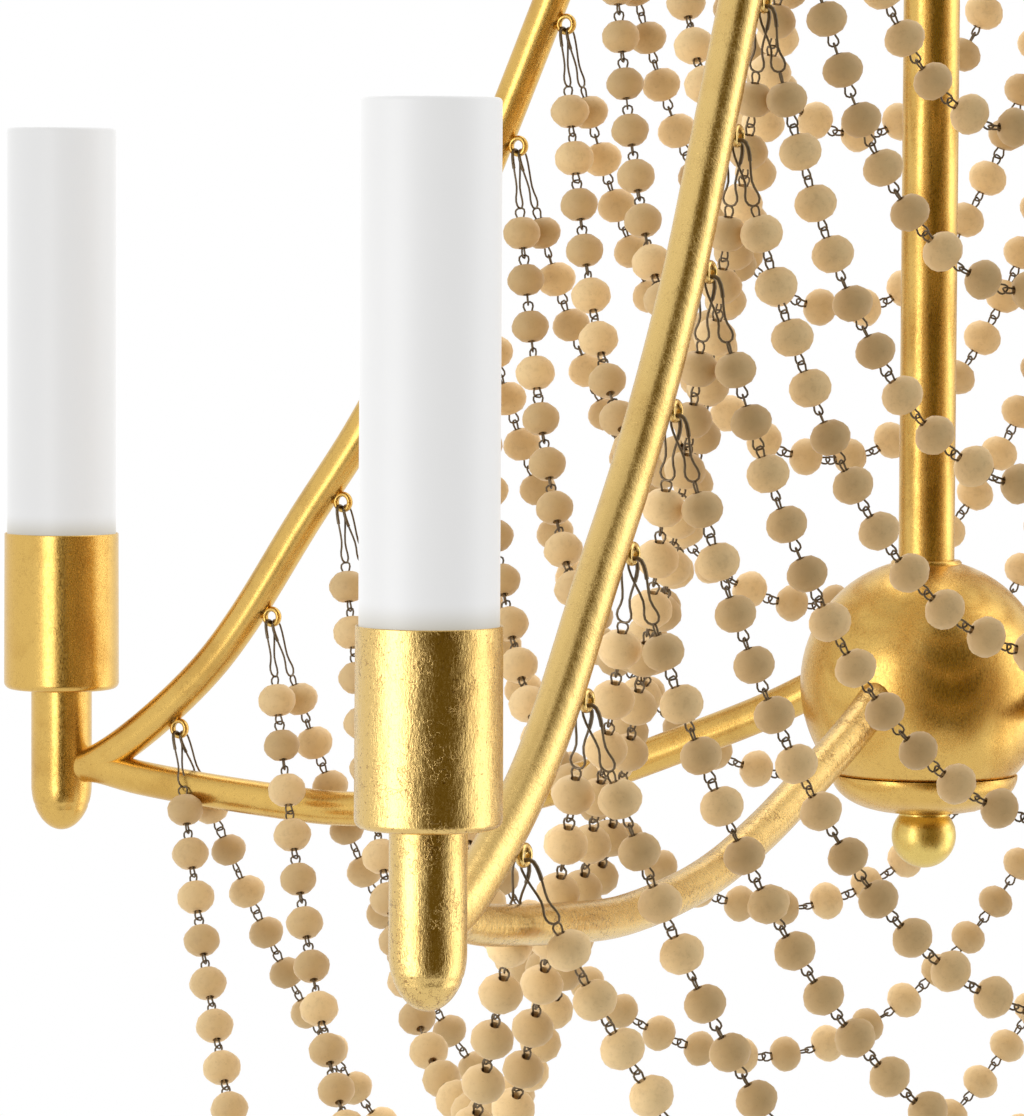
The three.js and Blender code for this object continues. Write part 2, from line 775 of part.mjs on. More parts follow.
const armShape = makeArm();
const lampShapes = [
  ['cup', makeCup(), goldLeaf],
  ['glass_tube', makeGlass(), opalGlass],
  ['socket', makeSocket(), porcelain],
  ['bulb', makeBulb(), bulbGlass],
];
for (const arm of arms) {
  const quadrant = new THREE.Group();
  quadrant.rotation.z = arm.turn;
  chandelier.add(quadrant);
  addMesh(`${arm.name}_arm`, armShape, goldLeaf, quadrant);
  const lamp = new THREE.Group();
  lamp.position.x = armReach;
  quadrant.add(lamp);
  for (const [name, geometry, material] of lampShapes) {
    addMesh(`${arm.name}_${name}`, geometry, material, lamp);
  }
  for (let tier = 0; tier < tiers - garlandTiers; tier += 1) {
    addMesh(`strand_${arm.bay}_${tier + 1}`, makeStrand(tier, arm.bay), wood, quadrant);
  }
}

for (let tier = tiers - garlandTiers; tier < tiers; tier += 1) {
  addMesh(`garland_${tier + 1}`, makeGarland(tier), wood, chandelier);
}

export default chandelier;
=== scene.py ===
# %% [markdown]
# # A beaded chandelier
# Four gilded tube arms meet a ball on a central rod. Each arm holds a lamp with an opal glass
# tube, and nine tiers of wooden beads hang in swags between eyelets under the ribs. The packed
# model is loaded first: it fixes every size and place, and the pieces made here cover its
# plain solids one by one.

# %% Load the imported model
import math

import bmesh
import bpy
from mathutils import Matrix, Vector


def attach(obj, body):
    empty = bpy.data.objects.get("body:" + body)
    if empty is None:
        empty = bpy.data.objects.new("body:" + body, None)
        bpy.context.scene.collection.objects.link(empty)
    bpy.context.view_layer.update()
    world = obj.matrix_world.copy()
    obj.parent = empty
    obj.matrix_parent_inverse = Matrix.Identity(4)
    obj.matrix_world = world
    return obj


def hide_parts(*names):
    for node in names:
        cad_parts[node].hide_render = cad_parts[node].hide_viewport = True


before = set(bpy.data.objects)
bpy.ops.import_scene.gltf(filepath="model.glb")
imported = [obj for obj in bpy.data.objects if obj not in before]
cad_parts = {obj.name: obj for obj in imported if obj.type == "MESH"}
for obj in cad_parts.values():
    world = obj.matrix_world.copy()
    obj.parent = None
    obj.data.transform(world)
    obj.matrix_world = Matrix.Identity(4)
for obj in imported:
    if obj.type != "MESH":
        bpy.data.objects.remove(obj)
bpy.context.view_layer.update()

# %% [markdown]
# Sizes are in millimetres, as on a maker's drawing, and turned into metres where a mesh is
# made. `rim` is the level of the cups' rims under the ceiling, and most heights are counted
# from it. `reach` is how far each lamp stands from the middle, and `seat_gap` is the play that
# two pieces need to fit into each other.

# %% Sizes shared by all pieces
MM = 0.001
rim = -555.3
reach = 404.0
tube_radius = 7.25
cup_height = 66
seat_gap = 0.3
arm_turns = {"right": 0, "back": 1, "left": 2, "front": 3}
bay_after = {
    "right": "back_right", "back": "back_left", "left": "front_left", "front": "front_right",
}
scene = bpy.context.scene


def add_object(name, data):
    made = bpy.data.objects.new(name, data)
    scene.collection.objects.link(made)
    return made


print("arms", list(arm_turns), "bays", list(bay_after.values()))

# %% [markdown]
# ## Materials
# A material is a tree of nodes, and so is a geometry modifier. These helpers make a node, set
# or link its inputs, and name the steps that are used over and over.

# %% Helpers for node trees
def socket(group, name, kind, side, value=None):
    made = group.interface.new_socket(name=name, in_out=side, socket_type="NodeSocket" + kind)
    if value is not None:
        made.default_value = value


def put(tree, value, place):
    """Link a socket to the place, or set a plain value there."""
    if isinstance(value, bpy.types.NodeSocket):
        tree.links.new(value, place)
    else:
        place.default_value = value


def feed(tree, made, values):
    for key, value in values.items():
        put(tree, value, made.inputs[key])


def node(tree, kind, label="", values=None, **settings):
    made = tree.nodes.new(kind)
    made.label = label
    for key, value in settings.items():
        setattr(made, key, value)
    feed(tree, made, values or {})
    return made


def typed(sockets, kind, name=None):
    """The first socket of that type, and of that name if one is given."""
    return next(s for s in sockets if s.type == kind and name in (None, s.name))


def noise(tree, vector, scale, detail, label, roughness=0.6):
    values = {"Vector": vector, "Scale": scale, "Detail": detail, "Roughness": roughness}
    return node(tree, "ShaderNodeTexNoise", label, values).outputs["Fac"]


def ramp(tree, value, low, high, label):
    values = {"Value": value, "From Min": low, "From Max": high}
    made = node(tree, "ShaderNodeMapRange", label, values, interpolation_type="SMOOTHSTEP")
    return made.outputs["Result"]


def blend_colour(tree, factor, first, second, label):
    made = node(tree, "ShaderNodeMix", label, data_type="RGBA")
    put(tree, factor, typed(made.inputs, "VALUE", "Factor"))
    put(tree, first, typed(made.inputs, "RGBA", "A"))
    put(tree, second, typed(made.inputs, "RGBA", "B"))
    return typed(made.outputs, "RGBA")


def arithmetic(tree, operation, first, second=0, label=""):
    values = {0: first, 1: second}
    return node(tree, "ShaderNodeMath", label, values, operation=operation).outputs[0]


def relief(tree, height, distance, strength, label):
    values = {"Height": height, "Distance": distance, "Strength": strength}
    return node(tree, "ShaderNodeBump", label, values).outputs["Normal"]


# %% [markdown]
# Gold leaf is beaten so thin that it shows every unevenness under it. Up close it is a field
# of tiny wrinkles with fine crease lines, specks where the red-brown ground shows through,
# and soft stains where the size under it was thick. A photograph of leaf would repeat on so
# long a frame, so noise of several sizes makes the pattern, in one node group that each
# gilded finish places with its own values.

# %% Gold leaf pattern
leaf_group = bpy.data.node_groups.new("Gold leaf", "ShaderNodeTree")
for name, kind, value in (
    ("Place", "Vector", None), ("Leaf", "Color", (0.9, 0.6, 0.2, 1)),
    ("Ground", "Color", (0.3, 0.15, 0.05, 1)), ("Stain", "Color", (0.5, 0.3, 0.1, 1)),
    ("Wear", "Float", 0.5), ("Smoothness", "Float", 0.3), ("Wrinkle depth", "Float", 0.5),
):
    socket(leaf_group, name, kind, "INPUT", value)
for name, kind in (("Color", "Color"), ("Roughness", "Float"), ("Normal", "Vector")):
    socket(leaf_group, name, kind, "OUTPUT")


def leaf_math(operation, first, second=0):
    return arithmetic(leaf_group, operation, first, second)


leaf_in = node(leaf_group, "NodeGroupInput").outputs
here = leaf_in["Place"]
stretched = node(
    leaf_group, "ShaderNodeMapping", "longer up and down", {"Vector": here, "Scale": (1, 1, 0.4)},
).outputs[0]
grain = noise(leaf_group, stretched, 1600, 3, "fine grain", 0.7)
wrinkle = noise(leaf_group, stretched, 420, 4, "wrinkles")
wave = noise(leaf_group, here, 75, 2, "waves of the sheet")
stains = noise(leaf_group, here, 34, 4, "soft stains")
specks = noise(leaf_group, here, 900, 2, "specks")
patches = noise(leaf_group, here, 60, 2, "where it creased")
patches = ramp(leaf_group, patches, 0.47, 0.56, "creased patches")
creases = []
for size, label in ((150, "long creases"), (260, "short creases")):
    field = noise(leaf_group, here, size, 3, label, 0.55)
    off_line = leaf_math("ABSOLUTE", leaf_math("SUBTRACT", field, 0.5))
    clear = ramp(leaf_group, off_line, 0.0, 0.016, "clear of the line")
    creases.append(leaf_math("SUBTRACT", 1.0, clear))
crease = leaf_math("MULTIPLY", leaf_math("MAXIMUM", *creases), patches)
stained = leaf_math("MULTIPLY", ramp(leaf_group, stains, 0.48, 0.7, "stained"), 0.5)
mottled = blend_colour(leaf_group, stained, leaf_in["Leaf"], leaf_in["Stain"], "stained leaf")
worn = ramp(leaf_group, specks, 0.6, 0.74, "worn through")
worn = leaf_math("MAXIMUM", worn, leaf_math("MULTIPLY", crease, 0.8))
worn = leaf_math("MULTIPLY", worn, leaf_in["Wear"])
rough = leaf_math("MULTIPLY", ramp(leaf_group, grain, 0.3, 0.7, "rough grain"), 0.16)
height = leaf_math("MULTIPLY", wrinkle, 0.42)
for unevenness, share in ((grain, 0.3), (crease, 0.1), (wave, 1.1)):
    height = leaf_math("ADD", height, leaf_math("MULTIPLY", unevenness, share))
node(leaf_group, "NodeGroupOutput", "", {
    "Color": blend_colour(leaf_group, worn, mottled, leaf_in["Ground"], "ground shows"),
    "Roughness": leaf_math("ADD", rough, leaf_in["Smoothness"]),
    "Normal": relief(leaf_group, height, 0.0004, leaf_in["Wrinkle depth"], "leaf relief"),
})
print("leaf pattern", len(leaf_group.nodes), "nodes")

# %% [markdown]
# The same leaf looks different from piece to piece, by how it was laid and rubbed. It is crisp
# and bright on the front lamp and lower arm, finer on the rib above them, satin on the rest,
# and nearly plain on the finial, which is polished.

# %% Gilded finishes
def new_material(name):
    material = bpy.data.materials.new(name)
    material.use_nodes = True
    tree = material.node_tree
    place = node(tree, "ShaderNodeTexCoord").outputs["Object"]
    return material, tree, tree.nodes["Principled BSDF"], place


def gilding(name, leaf, stain, wear, smoothness, depth):
    material, tree, shader, place = new_material(name)
    pattern = node(tree, "ShaderNodeGroup", "gold leaf", {
        "Place": place, "Leaf": (*leaf, 1), "Stain": (*stain, 1), "Ground": (0.24, 0.12, 0.04, 1),
        "Wear": wear, "Smoothness": smoothness, "Wrinkle depth": depth,
    }, node_tree=leaf_group).outputs
    feed(tree, shader, {
        "Base Color": pattern["Color"], "Roughness": pattern["Roughness"],
        "Normal": pattern["Normal"], "Metallic": 1.0,
    })
    return material


crisp_leaf = gilding("crisp gold leaf", (0.73, 0.51, 0.19), (0.5, 0.29, 0.08), 0.8, 0.13, 1.0)
fine_leaf = gilding("fine gold leaf", (0.73, 0.51, 0.19), (0.62, 0.4, 0.13), 0.25, 0.17, 0.55)
satin_leaf = gilding("satin gold leaf", (0.7, 0.45, 0.125), (0.49, 0.27, 0.06), 0.3, 0.2, 0.17)
bright_leaf = gilding("polished gold leaf", (0.75, 0.56, 0.17), (0.68, 0.44, 0.1), 0.1, 0.24, 0.1)
print("gilded finishes", 4, "from", leaf_group.name)

# %% [markdown]
# The beads are raw turned wood. Close to, they are a warm tan with very fine grain and a few
# darker pores, and no two are quite the same tone. The tone of each bead is a number stored
# with it when it is placed, so that one bead is one colour all over. A little sheen stands
# for the fine fuzz of unvarnished wood.

# %% Raw wood
wood, tree, shader, place = new_material("raw turned wood")
tone = node(tree, "ShaderNodeAttribute", "tone of the bead", attribute_name="tone").outputs["Fac"]
fibres = noise(tree, place, 420, 6, "fibres")
pores = ramp(tree, noise(tree, place, 1300, 2, "pores"), 0.6, 0.74, "pore mask")
fibre_share = arithmetic(tree, "MULTIPLY", ramp(tree, fibres, 0.45, 0.75, "fibre mask"), 0.22)
pore_share = arithmetic(tree, "MULTIPLY", pores, 0.16)
base = blend_colour(tree, tone, (0.56, 0.375, 0.165, 1), (0.92, 0.665, 0.335, 1), "bead colour")
base = blend_colour(tree, fibre_share, base, (0.45, 0.27, 0.12, 1), "fibres")
base = blend_colour(tree, pore_share, base, (0.22, 0.12, 0.06, 1), "pores")
feed(tree, shader, {
    "Base Color": base, "Roughness": 0.62, "Sheen Weight": 0.3, "Sheen Roughness": 0.5,
    "Sheen Tint": (1, 0.85, 0.65, 1), "Normal": relief(tree, fibres, 0.0003, 0.25, "grain relief"),
})
print("wood", len(tree.nodes), "nodes")

# %% [markdown]
# Wire, socket, bulb and bracket have plain finishes that differ in colour and gloss alone:
# dull patches on the blackened wire, a glaze on the porcelain, powder on the frosted bulb and
# spangle on the zinc. One function makes them all, from two colours mixed by soft noise.

# %% Plain finishes
def plain_finish(name, scale, low, high, roughness, spread=0, metallic=0):
    material, tree, shader, place = new_material(name)
    patches = noise(tree, place, scale, 3, "patches")
    feed(tree, shader, {
        "Base Color": blend_colour(tree, patches, (*low, 1), (*high, 1), "two colours"),
        "Roughness": roughness, "Metallic": metallic,
    })
    if spread:
        uneven = arithmetic(tree, "MULTIPLY", patches, spread)
        feed(tree, shader, {"Roughness": arithmetic(tree, "ADD", uneven, roughness)})
    return material


wire = plain_finish("blackened wire", 240, (0.08, 0.055, 0.032), (0.26, 0.205, 0.14), 0.25, 0.3, 1)
porcelain = plain_finish("glazed socket", 90, (0.8, 0.77, 0.7), (0.86, 0.84, 0.78), 0.25)
frosted = plain_finish("frosted bulb", 150, (0.84, 0.8, 0.7), (0.9, 0.87, 0.78), 0.35)
zinc = plain_finish("zinc plated steel", 120, (0.42, 0.42, 0.42), (0.58, 0.58, 0.57), 0.28, 0.2, 1)
print("materials so far", len(bpy.data.materials))

# %% [markdown]
# Opal glass scatters light inside its wall, so it looks evenly white whichever way the light
# falls. True scattering is slow to render and needs many samples, so a dim surface with a
# painted glow stands in for it: the tube gives off light of its own, though it is no lamp.
# Down in the cup less light gets in, and the gold colours it, so the painted glow is painted
# darker and warmer at the foot, as painted shade and a painted reflection of the gold.

# %% Opal glass
opal, tree, shader, place = new_material("opal glass")
cloud = noise(tree, place, 60, 3, "faint cloud")
upwards = node(tree, "ShaderNodeSeparateXYZ", "height", {0: place}).outputs["Z"]
# Below the rim and a little above it, the glow's colour is painted darker and warmer: painted
# shade and a painted reflection of the gold cup.
out_of_painted_foot_shade = ramp(tree, upwards, (rim - 1) * MM, (rim + 10) * MM, "clear of the cup")
painted_glow_shaded_at_foot = blend_colour(tree, out_of_painted_foot_shade, (0.66, 0.62, 0.52, 1), (1, 1, 1, 1), "warm foot")
frost = noise(tree, place, 1800, 2, "frost")
milky = blend_colour(tree, cloud, (0.14, 0.14, 0.14, 1), (0.155, 0.155, 0.155, 1), "opal")
# The emission is a painted glow that stands in for light passing through the glass; the tube is no
# lamp.
feed(tree, shader, {
    "Base Color": milky,
    "Roughness": 0.45, "Emission Color": painted_glow_shaded_at_foot, "Emission Strength": 0.625,
    "Normal": relief(tree, frost, 0.0002, 0.08, "frosted skin"),
})
print("opal glass", len(tree.nodes), "nodes")

# %% [markdown]
# ## Making a piece
# Many pieces of a lamp are turned on a lathe or spun from sheet, so one helper revolves a
# profile of radii and heights. It closes the skin itself, points its faces outwards, and
# keeps corners crisp where the profile turns sharply. Blender's Screw modifier could do this
# too, but then the seam and the poles would still have to be merged.

# %% Helpers for meshes
def make_piece(name, mesh, body, node_name):
    """A piece that moves with the body and covers the node's solid."""
    piece = add_object(name, mesh)
    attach(piece, body)
    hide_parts(node_name)


def revolve(name, profile, material, segments=64, crisp=35):
    rings = []
    points = []
    for radius, height in profile:
        if radius < 1e-6:
            rings.append([len(points)] * segments)
            points.append((0, 0, height * MM))
        else:
            rings.append(list(range(len(points), len(points) + segments)))
            for i in range(segments):
                angle = 2 * math.pi * i / segments
                x, y = radius * math.cos(angle), radius * math.sin(angle)
                points.append((x * MM, y * MM, height * MM))
    pairs = list(zip(rings, rings[1:]))
    if profile[0][0] > 1e-6:
        pairs.append((rings[-1], rings[0]))
    faces = []
    for low, high in pairs:
        for i in range(segments):
            j = (i + 1) % segments
            corners = [low[i], low[j], high[j], high[i]]
            corners = [c for k, c in enumerate(corners) if c not in corners[:k]]
            if len(corners) > 2:
                faces.append(corners)
    mesh = bpy.data.meshes.new(name)
    mesh.from_pydata(points, [], faces)
    shell = bmesh.new()
    shell.from_mesh(mesh)
    bmesh.ops.recalc_face_normals(shell, faces=shell.faces)
    shell.to_mesh(mesh)
    shell.free()
    mesh.shade_smooth()
    mesh.set_sharp_from_angle(angle=math.radians(crisp))
    mesh.materials.append(material)
    return mesh


def turned(mesh, quarter, offset=0):
    """Move the mesh outwards by the offset, then turn it to the arm of that quarter."""
    out = Matrix.Translation((offset * MM, 0, 0))
    mesh.transform(Matrix.Rotation(quarter * math.pi / 2, 4, "Z") @ out)
    return mesh


def raised(level, profile):
    return [(radius, level + height) for radius, height in profile]


def arc(radius, height, size, start, end, steps, depth=None):
    """Points of an arc of that size, or of half an oval if it also has a depth."""
    points = []
    for i in range(steps + 1):
        angle = math.radians(start + (end - start) * i / steps)
        across, upwards = size * math.cos(angle), (depth or size) * math.sin(angle)
        points.append((radius + across, height + upwards))
    return points


# %% [markdown]
# ## Node trees
# A tube along a path and a chain of beads are both rules: the same section all along, the
# same link over and over. Geometry Nodes state such a rule once, with its sizes as inputs.
# Each tree is run on a plain path, and the result is kept as an ordinary mesh. Every tree ends
# by turning its copies into real mesh and by giving them their material.

# %% Helpers for geometry node trees
def new_tree(name, inputs):
    tree = bpy.data.node_groups.new(name, "GeometryNodeTree")
    tree.is_modifier = True
    socket(tree, "Geometry", "Geometry", "INPUT")
    socket(tree, "Geometry", "Geometry", "OUTPUT")
    for label, kind, value in inputs:
        socket(tree, label, kind, "INPUT", value)
    return tree, node(tree, "NodeGroupInput").outputs


def real_and_coated(tree, geometry, finish):
    real = node(tree, "GeometryNodeRealizeInstances", "", {"Geometry": geometry}).outputs[0]
    coat = node(tree, "GeometryNodeSetMaterial", "", {"Geometry": real, "Material": finish})
    return coat.outputs[0]


def run_tree(name, source, tree, **values):
    carrier = add_object(name, source)
    modifier = carrier.modifiers.new(tree.name, "NODES")
    modifier.node_group = tree
    for item in tree.interface.items_tree:
        key = item.name.replace(" ", "_").lower()
        if item.in_out == "INPUT" and key in values:
            modifier[item.identifier] = values[key]
    depsgraph = bpy.context.evaluated_depsgraph_get()
    mesh = bpy.data.meshes.new_from_object(
        carrier.evaluated_get(depsgraph), preserve_all_data_layers=True, depsgraph=depsgraph,
    )
    mesh.name = name
    bpy.data.objects.remove(carrier)
    return mesh


def path_mesh(name, points, edges=None):
    mesh = bpy.data.meshes.new(name)
    edges = edges or [(i, i + 1) for i in range(len(points) - 1)]
    mesh.from_pydata([Vector(p) * MM for p in points], edges, [])
    return mesh


# %% Tree: a tube along a path
tube_tree, tube_in = new_tree("Tube along a path", [
    ("Radius", "Float", 0.007), ("Sides", "Int", 24), ("Finish", "Material", None),
])
to_curve = node(tube_tree, "GeometryNodeMeshToCurve", "", {"Mesh": tube_in["Geometry"]})
section = node(tube_tree, "GeometryNodeCurvePrimitiveCircle", "section", {
    "Radius": tube_in["Radius"], "Resolution": tube_in["Sides"],
})
sweep = node(tube_tree, "GeometryNodeCurveToMesh", "", {
    "Curve": to_curve.outputs["Curve"], "Profile Curve": section.outputs["Curve"],
    "Fill Caps": True,
})
smooth = node(tube_tree, "GeometryNodeSetShadeSmooth", "", {"Geometry": sweep.outputs["Mesh"]})
node(tube_tree, "NodeGroupOutput", "", {
    "Geometry": real_and_coated(tube_tree, smooth.outputs["Geometry"], tube_in["Finish"]),
})
print("tube tree", len(tube_tree.nodes), "nodes")

# %% Tree: pieces set on points
row_tree, row_in = new_tree("Pieces in a row", [
    ("Piece", "Object", None), ("Finish", "Material", None),
])
row_info = node(row_tree, "GeometryNodeObjectInfo", "one piece", {"Object": row_in["Piece"]})
row_points = node(row_tree, "GeometryNodeInstanceOnPoints", "", {
    "Points": row_in["Geometry"], "Instance": row_info.outputs["Geometry"],
})
node(row_tree, "NodeGroupOutput", "", {
    "Geometry": real_and_coated(row_tree, row_points.outputs["Instances"], row_in["Finish"]),
})
print("row tree", len(row_tree.nodes), "nodes")

# %% [markdown]
# A swag is a chain: bead, two linked wire eyes, bead, and so on, with a wire clip at each
# end. The tree reads a path whose corners are the places where two eyes meet. Every short
# edge gets a bead with its eyes, and the long edge at each end gets a clip. A bead is turned
# to lie along its edge, with a small random roll and size so that the chain doesn't look
# stamped. A clip lies flat across its eyelet, square to the arm that the eyelet sits on.

# %% Tree: the directions along a swag
swag_tree, swag_in = new_tree("Swag of beads", [
    ("Bead", "Object", None), ("Eyes", "Object", None), ("Clip", "Object", None),
    ("Clip from", "Float", 0.022), ("Roll", "Float", 0.45), ("Seed", "Int", 0),
    ("Bead finish", "Material", None), ("Wire finish", "Material", None),
])


def swag_node(kind, label="", values=None, **settings):
    return node(swag_tree, kind, label, values, **settings)


def chance(low, high, label):
    """A random number for each bead, between the two values."""
    values = {"Seed": swag_in["Seed"]}
    made = swag_node("FunctionNodeRandomValue", label, values, data_type="FLOAT")
    put(swag_tree, low, typed(made.inputs, "VALUE", "Min"))
    put(swag_tree, high, typed(made.inputs, "VALUE", "Max"))
    return typed(made.outputs, "VALUE")


ends = swag_node("GeometryNodeInputMeshEdgeVertices").outputs
run = swag_node("ShaderNodeVectorMath", "run of the edge", {
    0: ends["Position 2"], 1: ends["Position 1"],
}, operation="SUBTRACT").outputs["Vector"]
span = swag_node("ShaderNodeVectorMath", "length of the edge", {0: run}, operation="LENGTH")
is_clip = swag_node("FunctionNodeCompare", "is a clip", {
    "A": span.outputs["Value"], "B": swag_in["Clip from"],
}, data_type="FLOAT", operation="GREATER_THAN").outputs["Result"]
is_bead = swag_node("FunctionNodeBooleanMath", "", {0: is_clip}, operation="NOT").outputs[0]
kept = swag_node("GeometryNodeCaptureAttribute", "keep the run", domain="EDGE")
kept.capture_items.new("VECTOR", "Run")
feed(swag_tree, kept, {"Geometry": swag_in["Geometry"], "Run": run})
upright = swag_node("FunctionNodeAlignRotationToVector", "along the chain", {
    "Vector": kept.outputs["Run"],
}, axis="Z").outputs["Rotation"]
roll_back = arithmetic(swag_tree, "MULTIPLY", swag_in["Roll"], -1, "other way")
roll_axis = swag_node("ShaderNodeCombineXYZ", "", {
    "Z": chance(roll_back, swag_in["Roll"], "roll of the bead"),
})
roll_turn = swag_node("FunctionNodeEulerToRotation", "", {0: roll_axis.outputs[0]})
rolled = swag_node("FunctionNodeRotateRotation", "", {
    "Rotation": upright, "Rotate By": roll_turn.outputs["Rotation"],
}, rotation_space="LOCAL").outputs["Rotation"]
where = swag_node("ShaderNodeSeparateXYZ", "", {
    0: swag_node("GeometryNodeInputPosition").outputs[0],
}).outputs
round_way = swag_node("ShaderNodeCombineXYZ", "way round the axis", {
    "X": arithmetic(swag_tree, "MULTIPLY", where["Y"], -1, "minus Y"), "Y": where["X"],
})
faced = swag_node("FunctionNodeAlignRotationToVector", "flat across the eyelet", {
    "Rotation": upright, "Vector": round_way.outputs[0],
}, axis="X", pivot_axis="Z").outputs["Rotation"]
print("directions", len(swag_tree.nodes), "nodes")

# %% Tree: beads, eyes and clips set along a swag
tone = chance(0.0, 1.0, "tone of the bead")
bead_size = chance(0.94, 1.01, "size of the bead")
joined = swag_node("GeometryNodeJoinGeometry")
for part, chosen, finish, facing in (
    ("Bead", is_bead, "Bead finish", rolled), ("Eyes", is_bead, "Wire finish", rolled),
    ("Clip", is_clip, "Wire finish", faced),
):
    middles = swag_node("GeometryNodeMeshToPoints", "middle of each edge", {
        "Mesh": kept.outputs["Geometry"], "Selection": chosen,
    }, mode="EDGES")
    one = swag_node("GeometryNodeObjectInfo", part, {"Object": swag_in[part]})
    placed = swag_node("GeometryNodeInstanceOnPoints", "", {
        "Points": middles.outputs["Points"], "Instance": one.outputs["Geometry"],
        "Rotation": facing,
    })
    if part == "Bead":
        feed(swag_tree, placed, {"Scale": bead_size})
    toned = swag_node("GeometryNodeStoreNamedAttribute", "tone", {
        "Name": "tone", "Geometry": placed.outputs["Instances"], "Value": tone,
    }, data_type="FLOAT", domain="INSTANCE")
    coated = real_and_coated(swag_tree, toned.outputs["Geometry"], swag_in[finish])
    put(swag_tree, coated, joined.inputs[0])
node(swag_tree, "NodeGroupOutput", "", {"Geometry": joined.outputs[0]})
print("trees", [t.name for t in bpy.data.node_groups if t.bl_idname == "GeometryNodeTree"])

# %% [markdown]
# ## The frame
# Each rib leaves its lamp level, sweeps up in one long S and bends over into the hub. The
# lower arm sags a little and rises to the ball. Both are steel tube bent on formers. A smooth
# spline through a few points of the real curve gives them, as shares of the reach and of the
# height that they climb, because a curve object's handles would be harder to fit by eye.

# %% Paths of rib and lower arm
hub_rise = 384.0
stub_drop = 97.5
hub_radius = 46.0
hub_socket_depth = 12.0
ball_radius = 49.2
ball_drop = 46.3
arm_in_ball = 9
rib_shares = [
    (0.985, -0.005), (0.958, 0.001), (0.901, 0.031), (0.824, 0.086), (0.777, 0.132),
    (0.702, 0.223), (0.631, 0.306), (0.545, 0.429), (0.485, 0.539), (0.427, 0.649),
    (0.374, 0.751), (0.32, 0.851), (0.248, 0.934), (0.165, 0.985),
]
lower_arm_shares = [
    (0.985, -1.015), (0.958, -1.01), (0.9, -1.052), (0.755, -1.11), (0.648, -1.131),
    (0.49, -1.067), (0.371, -0.938), (0.248, -0.749), (0.16, -0.6),
]


def spline(points, steps=8):
    """Smooth curve through the points, with its knots spaced by the root of their distance."""
    out = []
    for i in range(len(points) - 1):
        p1, p2 = points[i], points[i + 1]
        p0 = points[i - 1] if i else p1 * 2 - p2
        p3 = points[i + 2] if i + 2 < len(points) else p2 * 2 - p1
        d0, d1, d2 = ((b - a).length ** 0.5 for a, b in ((p0, p1), (p1, p2), (p2, p3)))
        t1 = ((p1 - p0) / d0 - (p2 - p0) / (d0 + d1) + (p2 - p1) / d1) * d1
        t2 = ((p2 - p1) / d1 - (p3 - p1) / (d1 + d2) + (p3 - p2) / d2) * d1
        square = p1 * -3 + p2 * 3 - t1 * 2 - t2
        cube = p1 * 2 - p2 * 2 + t1 + t2
        for k in range(steps):
            t = k / steps
            out.append(p1 + t1 * t + square * t ** 2 + cube * t ** 3)
    return out + [points[-1]]


hub_level = rim + hub_rise
rib_height = hub_rise + stub_drop
rib_path = spline(
    [Vector((reach * a, 0, rim - stub_drop + rib_height * b)) for a, b in rib_shares]
    + [Vector((hub_radius, 0, hub_level))]
)
rib_line = rib_path + [Vector((hub_radius - hub_socket_depth + seat_gap, 0, hub_level))]
arm_path = spline(
    [Vector((reach * a, 0, rim + stub_drop * b)) for a, b in lower_arm_shares]
    + [Vector((ball_radius - arm_in_ball, 0, rim - ball_drop))]
)
print("rib points", len(rib_line), "lower arm points", len(arm_path))

# %% [markdown]
# Nine small rings are welded under each rib at even steps of height, and the strands hang in
# them. Their places are found by walking along the rib's path and keeping beside it. Those of
# the front rib sit a little to its right.

# %% Eyelets under the rib
tiers = 9
tier_gap = 49.2
lowest_eyelet_drop = 80.5
eyelet_radius = 4.4
weld_depth = 1.35
rib_radius = {side: 7.9 if side == "front" else tube_radius for side in arm_turns}
eyelet_twist = {side: math.radians(24) if side == "front" else 0 for side in arm_turns}


def eyelet_at(level, radius, twist):
    """Middle of the eyelet at that level, under the rib or turned round it by the twist."""
    offset = radius + eyelet_radius - weld_depth
    last = None
    for i in range(1, len(rib_path) - 1):
        run_here = (rib_path[i + 1] - rib_path[i - 1]).normalized()
        inward = Vector((-run_here.z, 0, run_here.x))
        out_of_rib = inward * math.cos(twist) + Vector((0, math.sin(twist), 0))
        point = rib_path[i] + out_of_rib * offset
        if last is not None and last.z < level <= point.z:
            return last + (point - last) * ((level - last.z) / (point.z - last.z))
        last = point
    raise ValueError("no eyelet at that level")


eyelets = {side: [] for side in arm_turns}
for side in arm_turns:
    for tier in range(tiers):
        level = rim - lowest_eyelet_drop + tier_gap * tier
        eyelets[side].append(eyelet_at(level, rib_radius[side], eyelet_twist[side]))
upper_half = [(2.3, 0.7), (2.6, 1.3), (3.2, 1.6), (3.8, 1.4), (4.25, 0.8)]
eyelet_ring = revolve("eyelet ring", [
    *((r, -z) for r, z in upper_half), (eyelet_radius, 0), *upper_half[::-1],
], satin_leaf, 24, 60)
eyelet_ring.transform(Matrix.Rotation(math.pi / 2, 4, "X"))
print("eyelet radii", [round(e.x, 1) for e in eyelets["left"]])


# %% Helpers to copy and join meshes
def join_meshes(name, meshes):
    shell = bmesh.new()
    finishes = list(dict.fromkeys(m for mesh in meshes for m in mesh.materials))
    for mesh in meshes:
        index = {i: finishes.index(m) for i, m in enumerate(mesh.materials)}
        start = len(shell.faces)
        shell.from_mesh(mesh)
        shell.faces.ensure_lookup_table()
        for face in shell.faces[start:]:
            face.material_index = index.get(face.material_index, 0)
    whole = bpy.data.meshes.new(name)
    shell.to_mesh(whole)
    shell.free()
    for material in finishes:
        whole.materials.append(material)
    return whole


